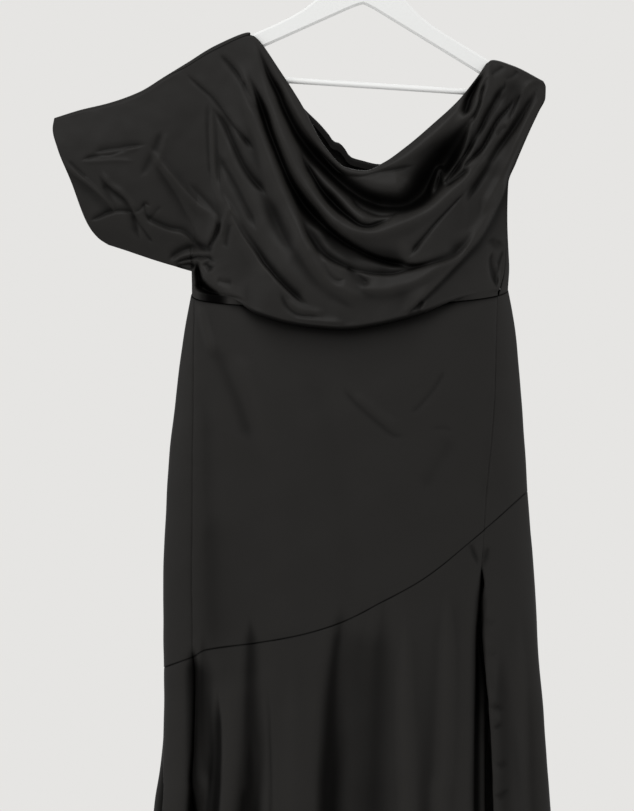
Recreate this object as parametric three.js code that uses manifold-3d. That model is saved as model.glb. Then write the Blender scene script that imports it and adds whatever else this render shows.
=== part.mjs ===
// A draped satin evening dress hanging on a flat wooden hanger.
// Millimetres, +Z up, +X to the viewer's right, the front of the dress towards -Y.
// The origin is the point inside the hanger's hook where it bears on a rail.
import * as THREE from 'three';
import Module from 'manifold-3d';

const wasm = await Module();
wasm.setup();

// Driving sizes of the dress
const WALL = 1.6; // thickness of every cloth wall
const SEAM_GAP = 0.5; // clear space left between two sewn edges
const HEM_Z = -1567; // level of the hem below the rail
const WAIST_Z = -494; // the waist seam at the left side
const WAIST_RISE = 7; // how much higher it is at the right side
const WAIST_DIP = 20; // how much lower it is in the middle of the front
const PHOTO_Z = -1126; // the level at which the flute depths below hold
const FLUTE_GROWTH = 1.8; // how much deeper a flute is at the hem
const OVER_ARM = 14; // how far from the top of an arm the shoulder seams lie
const BLOUSE = 15; // how far the bodice stands out in front of the waist seam

// Driving sizes of the hanger, in its own frame before it tips
const TIP = THREE.MathUtils.degToRad(3.7); // it hangs with its right arm low
const BOARD = 12; // thickness of the arms
const APEX_Z = -129.7; // where the two lower edges meet
const ARM_SLOPE = THREE.MathUtils.degToRad(27.75);
const ARM_HALF = 222; // from the middle to the end of an arm
const ARM_INNER = 20; // width of an arm near the neck
const ARM_OUTER = 22.6; // and near its end
const NECK_Z = -84; // top of the neck that holds the hook
const BAR_Z = -232.8;
const BAR_HALF = 203;
const BAR_RADIUS = 3.75;
const WIRE_RADIUS = 1.8;
const WIRE_DEPTH = 16; // how far the hook's stem goes into the neck
const FIT = 0.4; // clearance round the wire and the bar

const SATIN = { color: 0x2a2826, roughness: 0.42, metalness: 0 };
const WHITE = { color: 0xeceeea, roughness: 0.5, metalness: 0 };
const STEEL = { color: 0xc8c8c8, roughness: 0.25, metalness: 1 };

// Turns a heading and rows of numbers into rows with named columns.
function table(names, rows) {
  return rows.map((row) => Object.fromEntries(names.map((name, i) => [name, row[i]])));
}

const clamp = (x, low, high) => Math.min(high, Math.max(low, x));
const mix = (a, b, t) => a + (b - a) * t;
const radians = THREE.MathUtils.degToRad;

function smooth(from, to, x) {
  const t = clamp((x - from) / (to - from), 0, 1);
  return t * t * (3 - 2 * t);
}

// The column called name, read at the place where the column called key has the value given.
// It is a smooth curve whose slopes are held down so that it never overshoots a row.
function column(rows, key, name) {
  const sign = rows[1][key] > rows[0][key] ? 1 : -1;
  const keys = rows.map((row) => row[key] * sign);
  const values = rows.map((row) => row[name]);
  const last = keys.length - 1;
  const rise = (k) => (values[k + 1] - values[k]) / (keys[k + 1] - keys[k]);
  const slope = (k) => {
    if (k === 0) return rise(0);
    if (k === last) return rise(last - 1);
    const [a, b] = [rise(k - 1), rise(k)];
    return a * b <= 0 ? 0 : (2 * a * b) / (a + b);
  };
  return (place) => {
    const at = clamp(place * sign, keys[0], keys[last]);
    let i = 0;
    while (i < last - 1 && at > keys[i + 1]) i += 1;
    const step = keys[i + 1] - keys[i];
    const t = (at - keys[i]) / step;
    const [t2, t3] = [t * t, t * t * t];
    return values[i] * (2 * t3 - 3 * t2 + 1) + slope(i) * step * (t3 - 2 * t2 + t)
      + values[i + 1] * (3 * t2 - 2 * t3) + slope(i + 1) * step * (t3 - t2);
  };
}

// The skirt: its left and right edges seen from the front, and half its depth, at each height
const LEVELS = table(['z', 'left', 'right', 'deep'], [
  [-480, -219, 171, 39],
  [-539, -231, 180, 45],
  [-626, -243, 188, 51],
  [-751, -254, 195, 55],
  [-876, -258, 206, 58],
  [-1001, -257, 215, 62],
  [-1126, -262, 224, 70],
  [-1350, -286, 243, 86],
  [-1570, -312, 264, 102],
]);
const leftEdge = column(LEVELS, 'z', 'left');
const rightEdge = column(LEVELS, 'z', 'right');
const halfDepth = column(LEVELS, 'z', 'deep');

// The slanting seam: its height against the place across, from -1 at the left edge to 1
const SLANT = table(['across', 'z'], [
  [-1.0, -960],
  [-0.84, -945],
  [-0.78, -937],
  [-0.5, -927],
  [-0.27, -917],
  [-0.05, -901],
  [0.16, -877],
  [0.38, -850],
  [0.7, -795],
  [1.0, -740],
]);
const slant = column(SLANT, 'across', 'z');

// The x of the side seams on the front: the left seam, and the front and back edges of the
// right one, which part where the slit begins
const SEAMS = table(['z', 'left', 'front', 'back'], [
  [-480, -218.7, 160, 160],
  [-539, -219.5, 158, 158],
  [-626, -220.5, 155, 155],
  [-751, -221, 145, 145],
  [-832, -222, 139, 139],
  [-926, -221, 135, 143],
  [-1126, -221, 132, 154],
  [-1350, -226, 131, 161],
  [-1570, -232, 130, 167],
]);
const leftSeam = column(SEAMS, 'z', 'left');
const slitFront = column(SEAMS, 'z', 'front');
const slitBack = column(SEAMS, 'z', 'back');

// The flutes of the lower skirt: the angle of each trough, 0 at the left edge, 90 at the
// front, 180 at the right edge and 270 at the back, with its half width, its depth, and how
// far below the slanting seam it begins
const FLUTES = table(['angle', 'width', 'depth', 'start'], [
  [36, 11, 13, 0],
  [57, 20, 13, 10],
  [82, 17, 13, 0],
  [112, 20, 6, 60],
  [150, 16, 9, 120],
  [178, 12, 7, 60],
  [203, 17, 12, 60],
  [228, 20, 15, 20],
  [252, 19, 12, 70],
  [274, 20, 15, 10],
  [297, 18, 11, 50],
  [320, 19, 14, 30],
  [345, 13, 9, 80],
]);

function ring(angle, z) {
  const [left, right] = [leftEdge(z), rightEdge(z)];
  const half = (right - left) / 2;
  return [(left + right) / 2 - half * Math.cos(angle), -halfDepth(z) * Math.sin(angle)];
}

// The angle round the skirt at which its front has the x given.
function frontAngle(x, z) {
  const [left, right] = [leftEdge(z), rightEdge(z)];
  return Math.acos(clamp(1 - (2 * (x - left)) / (right - left), -1, 1));
}

function fluteDepth(angle, z) {
  const below = slant(-Math.cos(angle)) - z;
  if (below <= 0) return 0;
  const [x, y] = ring(angle, z);
  const growth = mix(1, FLUTE_GROWTH, clamp((PHOTO_Z - z) / (PHOTO_Z - HEM_Z), 0, 1));
  let depth = 0;
  for (const flute of FLUTES) {
    const [fluteX, fluteY] = ring(radians(flute.angle), z);
    const away = Math.hypot(x - fluteX, y - fluteY) / flute.width;
    const begun = smooth(flute.start, flute.start + 220, below);
    depth += flute.depth * growth * begun * Math.exp(-away * away);
  }
  return depth;
}

// A point of the middle of the skirt's wall, at an angle round it and a height.
function skirtPoint(angle, z) {
  const [x, y] = ring(angle, z);
  const [ahead, behind] = [ring(angle + 0.01, z), ring(angle - 0.01, z)];
  const out = new THREE.Vector2(ahead[1] - behind[1], behind[0] - ahead[0]).normalize();
  const depth = fluteDepth(angle, z);
  return new THREE.Vector3(x - out.x * depth, y - out.y * depth, z);
}

function waistHeight(angle) {
  const rise = (WAIST_RISE * (1 - Math.cos(angle))) / 2;
  return WAIST_Z + rise - WAIST_DIP * Math.max(0, Math.sin(angle)) ** 0.8;
}

// The upper edge of the bodice from the cuff on the left, over the shoulder, down and up the
// neckline, to the end of the strap on the right: where its crest lies, how far in front of
// the hanger's middle the cloth hangs there, the radius of its turn over the crest, and how
// far along that turn the cloth begins, less than nothing being behind the crest
const FRONT_TOP = table(['u', 'x', 'z', 'fore', 'turn', 'start'], [
  [0.0, -394, -274, 4, 4, 12],
  [0.05, -362, -264, 5, 5, 13],
  [0.1, -325, -255, 6, 6, OVER_ARM],
  [0.15, -287, -241, 7.4, 7.4, OVER_ARM],
  [0.19, -256, -223, 7.4, 7.4, OVER_ARM],
  [0.225, -229, -207, 7.4, 7.4, OVER_ARM],
  [0.27, -194, -184, 7.4, 7.4, OVER_ARM],
  [0.32, -150, -167, 7.4, 7.4, OVER_ARM],
  [0.35, -138, -178, 9.4, 1.8, 0.6],
  [0.385, -112, -216, 12, 1.8, 0],
  [0.42, -87, -255, 15, 2.6, -8],
  [0.47, -56, -311, 21, 3, -12],
  [0.52, -30, -337, 26, 3, -12],
  [0.57, -6, -341, 28, 3, -12],
  [0.62, 17, -331, 27, 3, -12],
  [0.68, 45, -311, 22, 3, -12],
  [0.75, 80, -281, 16, 2.6, -8],
  [0.81, 111, -252, 11, 1.8, 0],
  [0.85, 137, -219, 9.4, 1.8, 0.6],
  [0.872, 147, -200, 7.4, 7.4, 12],
  [0.892, 155, -198, 7.4, 7.4, -OVER_ARM],
  [0.94, 180, -208, 7.4, 7.4, -OVER_ARM],
  [1.0, 213, -226, 7.4, 7.4, -OVER_ARM],
]);
const BACK_TOP = table(['u', 'x', 'z', 'fore', 'turn', 'start'], [
  [0.0, -394, -274, 4, 4, -12],
  [0.05, -362, -264, 5, 5, -13],
  [0.1, -325, -255, 6, 6, -OVER_ARM],
  [0.15, -287, -241, 7.4, 7.4, -OVER_ARM],
  [0.19, -256, -223, 7.4, 7.4, -OVER_ARM],
  [0.225, -229, -207, 7.4, 7.4, -OVER_ARM],
  [0.27, -194, -184, 7.4, 7.4, -OVER_ARM],
  [0.318, -152, -167, 7.4, 7.4, -OVER_ARM],
  [0.335, -147, -168, 7.4, 7.4, 12],
  [0.36, -136, -182, 9.4, 1.8, 0.6],
  [0.4, -110, -225, 10, 1.8, 0],
  [0.45, -83, -261, 12, 2.6, -8],
  [0.52, -44, -307, 14, 3, -12],
  [0.57, -22, -326, 15, 3, -12],
  [0.62, 14, -331, 15, 3, -12],
  [0.7, 58, -303, 14, 3, -12],
  [0.77, 88, -277, 12, 2.6, -8],
  [0.82, 112, -254, 10, 1.8, 0],
  [0.86, 137, -222, 9.4, 1.8, 0.6],
  [0.885, 153, -199, 7.4, 7.4, OVER_ARM + 1],
  [0.94, 180, -208, 7.4, 7.4, OVER_ARM + 1],
  [1.0, 213, -226, 7.4, 7.4, OVER_ARM + 1],
]);

// The lower edge of the sleeve, from the cuff to the side seam; the waist goes on from there
const UNDERSIDE = table(['u', 'x', 'z'], [
  [0.0, -325, -431],
  [0.05, -306, -437],
  [0.12, -270, -449],
  [0.19, -237, -460],
  [0.225, -220, -466],
]);
const UNDERARM_U = 0.225;
const SIDE_U = 0.27; // where the left side seam meets the waist
const SIDE_GAP = 1.3; // from the middle to each half's wall along the left seam

// The cuff, and the right edge: the armhole, then the side seam. fore is as above, and hind
// is the same for the back half, less than nothing being in front of the hanger's middle
const CUFF = table(['v', 'x', 'z', 'fore'], [
  [0, -394, -274, 4],
  [0.08, -396, -287, 6],
  [0.25, -387, -313, 11],
  [0.5, -370, -353, 13],
  [0.8, -349, -407, 9],
  [0.93, -336, -424, 4],
  [1, -325, -431, 1.3],
]);
const RIGHT_EDGE = table(['v', 'x', 'z', 'fore', 'hind'], [
  [0, 213, -226, 7.4, 7.4],
  [0.05, 219, -236, 7.4, 7.4],
  [0.1, 219, -249, 8.5, 8.5],
  [0.17, 211, -266, 9, 9],
  [0.27, 200, -289, 9, 9],
  [0.43, 182, -331, 5, 5],
  [0.52, 173, -355, 1.5, 1.5],
  [0.7, 171, -405, 1.6, 1.4],
  [0.9, 168, -462, 6, -3],
]);

// How far the bodice hangs below the waist seam, against the place across the waist
const OVERHANG = table(['x', 'drop'], [
  [-219, 0],
  [-168, 0.5],
  [-135, 7],
  [-100, 19],
  [-62, 27],
  [-31, 29],
  [6, 25],
  [37, 19],
  [87, 6],
  [125, 0.5],
  [171, 0],
]);
const overhang = column(OVERHANG, 'x', 'drop');
const TURN_ABOVE = 9; // how far above the seam the face ends where it doesn't hang over

// The largest folds of the bodice: how far each stands out, or sinks if less than nothing,
// its half width, and the points it runs through, each an x and a z
const FRONT_FOLDS = table(['out', 'width', 'path'], [
  [-13, 12, [[-148, -174], [-112, -251], [-84, -299], [-50, -339], [-12, -364], [31, -383],
    [62, -370], [94, -320], [125, -282]]],
  [8, 11, [[-131, -205], [-100, -283], [-62, -360], [-31, -411], [0, -416], [37, -409],
    [69, -390], [119, -348], [162, -301], [181, -270]]],
  [-9, 12, [[-162, -226], [-135, -276], [-100, -357], [-50, -420], [6, -449], [62, -460],
    [100, -451], [131, -420]]],
  [6, 13, [[-181, -201], [-137, -301], [-106, -357], [-81, -410], [-44, -485], [0, -476],
    [62, -470], [125, -432], [162, -363]]],
  [-8, 14, [[-181, -382], [-143, -439], [-119, -471], [-75, -505]]],
  [-7, 8, [[144, -220], [137, -264], [119, -300], [94, -340]]],
  [-7, 9, [[187, -245], [162, -307], [137, -351], [112, -392]]],
  [-7, 10, [[170, -375], [137, -426], [100, -470], [62, -501]]],
  [-6, 8, [[-235, -214], [-200, -248], [-170, -290], [-142, -318]]],
  [-4, 10, [[-343, -314], [-300, -302], [-262, -295]]],
  [-4, 10, [[-300, -347], [-281, -376], [-270, -426]]],
  [-5, 12, [[-225, -330], [-206, -385], [-204, -430]]],
]);
const BACK_FOLDS = table(['out', 'width', 'path'], [
  [-7, 14, [[-150, -215], [-100, -320], [-25, -380], [60, -350], [140, -250]]],
  [-7, 15, [[-190, -260], [-130, -380], [-30, -430], [90, -400], [175, -280]]],
  [-5, 14, [[-330, -300], [-270, -350], [-215, -430]]],
  [-5, 12, [[-120, -480], [-110, -430], [-130, -380]]],
  [-5, 12, [[80, -480], [90, -440], [70, -400]]],
]);

const FRONT = { top: FRONT_TOP, folds: FRONT_FOLDS, sign: -1, puff: 12, sleevePuff: 4, edgeFore: 'fore' };
const BACK = { top: BACK_TOP, folds: BACK_FOLDS, sign: 1, puff: 10, sleevePuff: 3, edgeFore: 'hind' };
for (const half of [FRONT, BACK]) {
  for (const name of ['x', 'z', 'fore', 'turn', 'start']) {
    half[name] = column(half.top, 'u', name);
  }
}
const underX = column(UNDERSIDE, 'u', 'x');
const underZ = column(UNDERSIDE, 'u', 'z');

// The distance of a place from a path, and the share of the path gone by there.
function distanceTo(path, x, z) {
  let nearest = Infinity;
  let along = 0;
  for (let i = 0; i < path.length - 1; i += 1) {
    const [ax, az] = path[i];
    const [bx, bz] = path[i + 1];
    const [dx, dz] = [bx - ax, bz - az];
    const t = clamp(((x - ax) * dx + (z - az) * dz) / (dx * dx + dz * dz), 0, 1);
    const away = Math.hypot(x - ax - t * dx, z - az - t * dz);
    if (away < nearest) {
      nearest = away;
      along = (i + t) / (path.length - 1);
    }
  }
  return [nearest, along];
}

function foldHeight(folds, x, z) {
  let height = 0;
  for (const fold of folds) {
    const [away, along] = distanceTo(fold.path, x, z);
    const ends = smooth(-0.02, 0.2, along) * smooth(1.02, 0.8, along);
    height += fold.out * ends * Math.exp(-((away / fold.width) ** 2));
  }
  return height;
}

// The angle at which a column of the bodice meets the ring of the waist.
function waistAngle(half, u) {
  const t = clamp((u - SIDE_U) / (1 - SIDE_U), 0, 1);
  const trim = SEAM_GAP / halfDepth(WAIST_Z);
  const left = SIDE_GAP / halfDepth(WAIST_Z);
  const right = frontAngle(slitFront(WAIST_Z), WAIST_Z);
  return half === FRONT ? mix(left, right - trim, t) : mix(2 * Math.PI - left, right + trim, t);
}

// The lower edge of a half of the bodice, as x, the distance out from the middle, and z.
function lowerEdge(half, u) {
  if (u <= UNDERARM_U) return [underX(u), SIDE_GAP, underZ(u)];
  const angle = waistAngle(half, u);
  const z = waistHeight(angle) + SEAM_GAP + 0.4;
  const [x, y] = ring(angle, z);
  const drop = half === FRONT ? overhang(x) : 0;
  const over = smooth(2, 13, drop);
  const fore = y * half.sign + BLOUSE * over;
  const above = half === FRONT ? TURN_ABOVE * (1 - over) : 0;
  const low = z + above - Math.max(drop - 5, 0);
  const t = Math.min((u - UNDERARM_U) / (SIDE_U - UNDERARM_U), 1);
  return [mix(underX(UNDERARM_U), x, t), mix(SIDE_GAP, fore, t), mix(underZ(UNDERARM_U), low, t)];
}

for (const half of [FRONT, BACK]) {
  half.corners = [0, 1].map((u) => [[half.x(u), half.fore(u), half.z(u)], lowerEdge(half, u)]);
  const [x, fore, z] = half.corners[1][1];
  const rows = [...RIGHT_EDGE, { v: 1, x, z, fore, hind: fore }];
  half.cuff = ['x', 'fore', 'z'].map((name) => column(CUFF, 'v', name));
  half.edge = ['x', half.edgeFore, 'z'].map((name) => column(rows, 'v', name));
}

// The face of a half of the bodice at a column u and a share v of the way down it.
function facePoint(half, u, v) {
  const upper = [half.x(u), half.fore(u), half.z(u)];
  const lower = lowerEdge(half, u);
  const [nearCuff, nearEdge] = [(1 - u) ** 4, u ** 5];
  const [left, right] = half.corners;
  const point = upper.map((value, k) => mix(value, lower[k], v)
    + nearCuff * (half.cuff[k](v) - mix(left[0][k], left[1][k], v))
    + nearEdge * (half.edge[k](v) - mix(right[0][k], right[1][k], v)));
  const across = smooth(0, 0.12, u) * smooth(1, 0.86, u);
  const body = mix(half.sleevePuff, half.puff, smooth(0.22, 0.45, u));
  point[1] += body * across * Math.sin(Math.PI * clamp(v, 0, 1));
  const still = smooth(0.02, 0.1, v) * smooth(1, 0.88, v) * smooth(0, 0.05, u) * smooth(1, 0.96, u);
  point[1] += still * foldHeight(half.folds, point[0], point[2]);
  return point;
}

// One column of the bodice: the rows of the turn over the crest, then the rows of the face.
const TURN_ROWS = 7;

function bodiceColumn(half, u, rows) {
  const turn = half.turn(u);
  const quarter = (turn * Math.PI) / 2;
  const first = half.start(u) + (half.start(u) > 6 ? SEAM_GAP : 0);
  const reach = Math.max(quarter, first + 8);
  const lower = lowerEdge(half, u);
  const tall = Math.hypot(lower[0] - half.x(u), lower[2] - half.z(u));
  const line = [];
  for (let k = 0; k <= TURN_ROWS; k += 1) {
    const length = mix(first, reach, k / TURN_ROWS);
    const angle = clamp(length / turn, -Math.PI / 2, Math.PI / 2);
    const past = Math.max(Math.abs(length) - quarter, 0);
    const point = facePoint(half, u, (turn * (1 - Math.cos(angle)) + past) / tall);
    if (length <= 0) point[1] = half.fore(u) + turn * (Math.sin(angle) - 1);
    else if (past === 0) point[1] += turn * (Math.sin(angle) - 1);
    line.push(point);
  }
  const begin = (turn + reach - quarter) / tall;
  for (let k = 1; k <= rows; k += 1) {
    line.push(facePoint(half, u, mix(begin, 1, k / rows)));
  }
  return line;
}

// The way the front turns under at the waist and climbs back to the seam: shares of the drop
// below the seam, millimetres above the seam, and millimetres in front of the skirt's wall
const TURN_UNDER = table(['drop', 'above', 'front'], [
  [1, 1.2, 13.5],
  [1, 0, 9.5],
  [1, 1.4, 5.6],
  [0.4, 2.5, 4.4],
  [0, 5, 3.8],
  [0, 6.2, 1.9],
  [0, 0, 0],
]);

function waistTurn(u, last) {
  const angle = waistAngle(FRONT, u);
  const seam = waistHeight(angle) + SEAM_GAP + 0.2;
  const [x, y] = ring(angle, seam);
  const drop = overhang(x);
  const over = smooth(2, 13, drop);
  return TURN_UNDER.map((step, k) => {
    const t = (k + 1) / TURN_UNDER.length;
    const turned = [step.front - y, seam - step.drop * drop + step.above];
    const plain = [mix(last[1], -y, t), mix(last[2], seam, t)];
    return [x, mix(plain[0], turned[0], over), mix(plain[1], turned[1], over)];
  });
}

// Counts of columns between the places where the upper edge changes its course
function spread(stops) {
  const places = [stops[0][0]];
  for (let i = 1; i < stops.length; i += 1) {
    const [to, count] = stops[i];
    const from = stops[i - 1][0];
    for (let k = 1; k <= count; k += 1) places.push(mix(from, to, k / count));
  }
  return places;
}
const FRONT_COLUMNS = spread([
  [0], [UNDERARM_U, 9], [SIDE_U, 3], [0.32, 3], [0.35, 3], [0.85, 20], [0.872, 2], [0.892, 3], [1, 5],
]);
const BACK_COLUMNS = spread([
  [0], [UNDERARM_U, 7], [SIDE_U, 3], [0.318, 3], [0.335, 3], [0.36, 2], [0.86, 14], [0.885, 3], [1, 5],
]);

// A sheet is a list of points in the middle of a wall, and of four-cornered cells between them.
class Sheet {
  constructor() {
    this.points = [];
    this.cells = [];
  }

  // Adds lines of points side by side, joined cell by cell, and gives back their numbers.
  add(lines) {
    const numbers = lines.map((line) => line.map((point) => {
      if (Number.isInteger(point)) return point;
      this.points.push(point);
      return this.points.length - 1;
    }));
    for (let i = 1; i < numbers.length; i += 1) {
      for (let j = 1; j < numbers[i].length; j += 1) {
        this.cells.push([numbers[i - 1][j - 1], numbers[i - 1][j], numbers[i][j], numbers[i][j - 1]]);
      }
    }
    return numbers;
  }

  // The solid wall on both sides of the sheet, closed all round its free edges.
  solid() {
    const normals = this.points.map(() => new THREE.Vector3());
    const edges = new Map();
    for (const cell of this.cells) {
      const [a, b, c, d] = cell.map((n) => this.points[n]);
      const normal = c.clone().sub(a).cross(d.clone().sub(b)).normalize();
      for (const n of cell) normals[n].add(normal);
      cell.forEach((n, k) => {
        const next = cell[(k + 1) % 4];
        const back = `${next}_${n}`;
        if (edges.has(back)) edges.delete(back);
        else edges.set(`${n}_${next}`, [n, next]);
      });
    }
    const count = this.points.length;
    const positions = new Float32Array(count * 6);
    this.points.forEach((point, n) => {
      const out = normals[n].normalize().multiplyScalar(WALL / 2);
      positions.set(point.clone().add(out).toArray(), n * 3);
      positions.set(point.clone().sub(out).toArray(), (n + count) * 3);
    });
    const faces = [];
    const quad = (a, b, c, d) => faces.push(a, b, c, a, c, d);
    for (const [a, b, c, d] of this.cells) {
      quad(a, b, c, d);
      quad(d + count, c + count, b + count, a + count);
    }
    for (const [a, b] of edges.values()) quad(b, a, a + count, b + count);
    const geometry = new THREE.BufferGeometry();
    geometry.setAttribute('position', new THREE.BufferAttribute(positions, 3));
    geometry.setIndex(faces);
    return geometry;
  }
}

function bodice(half, columns, rows) {
  const sheet = new Sheet();
  const place = ([x, out, z]) => new THREE.Vector3(x, out * half.sign, z);
  const lines = columns.map((u) => bodiceColumn(half, u, rows));
  const numbers = sheet.add(lines.map((line) => line.map(place)));
  if (half === FRONT) {
    const turned = [];
    columns.forEach((u, i) => {
      if (u < SIDE_U - 1e-6) return;
      const last = numbers[i].at(-1);
      turned.push([last, ...waistTurn(u, lines[i].at(-1)).map(place)]);
    });
    sheet.add(turned);
  }
  return sheet.solid();
}

// One panel of the skirt, from the left seam to the right one round the front or the back,
// between two lines of heights.
function skirtPanel(side, top, bottom, columns, rows) {
  const lines = [];
  for (let i = 0; i <= columns; i += 1) {
    const line = [];
    for (let j = 0; j <= rows; j += 1) {
      let angle = side === 'front' ? Math.PI / 2 : (3 * Math.PI) / 2;
      let z = HEM_Z;
      for (let pass = 0; pass < 8; pass += 1) {
        z = mix(top(angle), bottom(angle), j / rows);
        const trim = SEAM_GAP / halfDepth(z);
        const left = frontAngle(leftSeam(z), z);
        const [from, to] = side === 'front'
          ? [left + trim, frontAngle(slitFront(z), z) - trim]
          : [left + 2 * Math.PI - trim, frontAngle(slitBack(z), z) + trim];
        angle = mix(from, to, i / columns);
      }
      line.push(skirtPoint(angle, z));
    }
    lines.push(line);
  }
  const sheet = new Sheet();
  sheet.add(lines);
  return sheet.solid();
}

// The arms of the hanger: the height of their upper edge against the distance from the middle
const UPPER_EDGE = table(['x', 'z'], [
  [0, -84],
  [9, -85],
  [16, -91],
  [28, -102],
  [42, -113.5],
  [55, -126],
  [74, -143.5],
  [105, -162.8],
  [129, -175.3],
  [164, -193.3],
  [188, -207],
  [205, -218.5],
]);
const upperEdge = column(UPPER_EDGE, 'x', 'z');
const ARM_STOPS = [3, 9, 13, 20, 28, 35, 42, 48, 55, 64, 74, 88, 105, 129, 164, 188, 205];
const BEVEL = 2.5; // how far the edges of the board are eased
const lowerLine = (x) => APEX_Z - x * Math.tan(ARM_SLOPE);

function armOutline() {
  const half = ARM_STOPS.map((x) => [x, upperEdge(x)]);
  const along = [Math.cos(ARM_SLOPE), -Math.sin(ARM_SLOPE)];
  const last = ARM_STOPS.at(-1);
  const foot = [last - 10.5, lowerLine(last - 10.5)];
  const middle = [(last + foot[0]) / 2, (upperEdge(last) + foot[1]) / 2];
  const reach = Math.hypot(last - foot[0], upperEdge(last) - foot[1]) / 2;
  for (let k = 1; k < 8; k += 1) {
    const turn = (k / 8) * Math.PI;
    const [up, on] = [Math.cos(turn) * reach, Math.sin(turn) * reach * 1.1];
    half.push([middle[0] + on * along[0] - up * along[1], middle[1] + on * along[1] + up * along[0]]);
  }
  half.push(foot);
  half.push([100, lowerLine(100)]);
  half.push([14, lowerLine(14)]);
  half.push([5, lowerLine(5) - 0.8]);
  const mirrored = half.map(([x, z]) => [-x, z]).reverse();
  return [...half, [0, APEX_Z - 1.8], ...mirrored, [0, -83.9]].map(([x, z]) => new THREE.Vector2(x, z));
}

function arms() {
  const outline = armOutline();
  const count = outline.length;
  const inset = outline.map((point, i) => {
    const [before, after] = [outline[(i + count - 1) % count], outline[(i + 1) % count]];
    const way = after.clone().sub(before).normalize();
    return new THREE.Vector2(point.x + way.y * BEVEL, point.y - way.x * BEVEL);
  });
  const layers = [
    [inset, BOARD / 2], [outline, BOARD / 2 - BEVEL], [outline, BEVEL - BOARD / 2], [inset, -BOARD / 2],
  ];
  const positions = layers.flatMap(([shape, y]) => shape.flatMap((p) => [p.x, y, p.y]));
  const faces = [];
  for (let layer = 0; layer < 3; layer += 1) {
    for (let i = 0; i < count; i += 1) {
      const [a, b] = [layer * count + i, layer * count + ((i + 1) % count)];
      faces.push(a, b + count, b, a, a + count, b + count);
    }
  }
  for (const triangle of THREE.ShapeUtils.triangulateShape(inset, [])) {
    const [p, q, r] = triangle.map((n) => inset[n]);
    const turnsLeft = q.clone().sub(p).cross(r.clone().sub(p)) > 0;
    const [a, b, c] = turnsLeft ? triangle : [...triangle].reverse();
    faces.push(c, b, a);
    faces.push(a + 3 * count, b + 3 * count, c + 3 * count);
  }
  return { positions, faces };
}

function toManifold({ positions, faces }) {
  const mesh = new wasm.Mesh({
    numProp: 3, vertProperties: new Float32Array(positions), triVerts: new Uint32Array(faces),
  });
  mesh.merge();
  return new wasm.Manifold(mesh);
}

function toGeometry(manifold) {
  const mesh = manifold.getMesh();
  const geometry = new THREE.BufferGeometry();
  geometry.setAttribute('position', new THREE.BufferAttribute(mesh.vertProperties.slice(), 3));
  geometry.setIndex([...mesh.triVerts]);
  return geometry;
}

// A round wire along a flat path of x and z.
function wire(path, radius, sides) {
  const positions = [];
  const faces = [];
  path.forEach(([x, z], i) => {
    const [before, after] = [path[Math.max(i - 1, 0)], path[Math.min(i + 1, path.length - 1)]];
    const way = new THREE.Vector2(after[0] - before[0], after[1] - before[1]).normalize();
    for (let k = 0; k < sides; k += 1) {
      const turn = (2 * Math.PI * k) / sides;
      const out = radius * Math.cos(turn);
      positions.push(x + way.y * out, radius * Math.sin(turn), z - way.x * out);
    }
  });
  const ring0 = positions.length / 3;
  positions.push(path[0][0], 0, path[0][1], path.at(-1)[0], 0, path.at(-1)[1]);
  for (let k = 0; k < sides; k += 1) {
    const next = (k + 1) % sides;
    for (let i = 0; i < path.length - 1; i += 1) {
      const [a, b] = [i * sides + k, i * sides + next];
      faces.push(a, b, b + sides, a, b + sides, a + sides);
    }
    const end = (path.length - 1) * sides;
    faces.push(ring0, next, k, ring0 + 1, end + k, end + next);
  }
  return { positions, faces };
}

// The hook: a stem out of the neck, a sideways bend, then a round bend over the rail
const HOOK_INSIDE = 20;
const STEM = [[0, NECK_Z - WIRE_DEPTH + 1], [0, -90], [0, -70], [0.6, -60], [4, -50], [9.5, -42]];

function hookPath() {
  const path = [...STEM];
  const radius = HOOK_INSIDE + WIRE_RADIUS;
  for (let turn = -45; turn <= 205; turn += 12.5) {
    path.push([radius * Math.cos(radians(turn)), radius * Math.sin(radians(turn)) - HOOK_INSIDE]);
  }
  return path;
}

const tipped = (manifold) => {
  const geometry = toGeometry(manifold);
  geometry.rotateY(TIP);
  return geometry;
};
const rod = (from, to, radius) => toManifold(wire([from, to], radius, 20));

const bar = rod([-BAR_HALF, BAR_Z], [BAR_HALF, BAR_Z], BAR_RADIUS);
const barHole = rod([-BAR_HALF - 1, BAR_Z], [BAR_HALF + 1, BAR_Z], BAR_RADIUS + FIT);
const hookHole = rod([0, NECK_Z - WIRE_DEPTH], [0, NECK_Z + 8], WIRE_RADIUS + FIT);
const board = toManifold(arms()).subtract(barHole).subtract(hookHole);
const hook = toManifold(wire(hookPath(), WIRE_RADIUS, 12));

const group = new THREE.Group();
group.name = 'dress_on_hanger';
function put(name, geometry, look) {
  const mesh = new THREE.Mesh(geometry, new THREE.MeshStandardMaterial(look));
  mesh.name = name;
  geometry.computeVertexNormals();
  group.add(mesh);
}
const slantAt = (offset) => (angle) => slant(-Math.cos(angle)) + offset;
const hem = () => HEM_Z;
put('hanger_arms', tipped(board), WHITE);
put('hanger_bar', tipped(bar), WHITE);
put('hanger_hook', tipped(hook), STEEL);
put('bodice_front', bodice(FRONT, FRONT_COLUMNS, 20), SATIN);
put('bodice_back', bodice(BACK, BACK_COLUMNS, 13), SATIN);
put('skirt_front_upper', skirtPanel('front', waistHeight, slantAt(SEAM_GAP), 34, 5), SATIN);
put('skirt_back_upper', skirtPanel('back', waistHeight, slantAt(SEAM_GAP), 48, 5), SATIN);
put('skirt_front_lower', skirtPanel('front', slantAt(0), hem, 34, 11), SATIN);
put('skirt_back_lower', skirtPanel('back', slantAt(0), hem, 48, 11), SATIN);

export default group;
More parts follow.
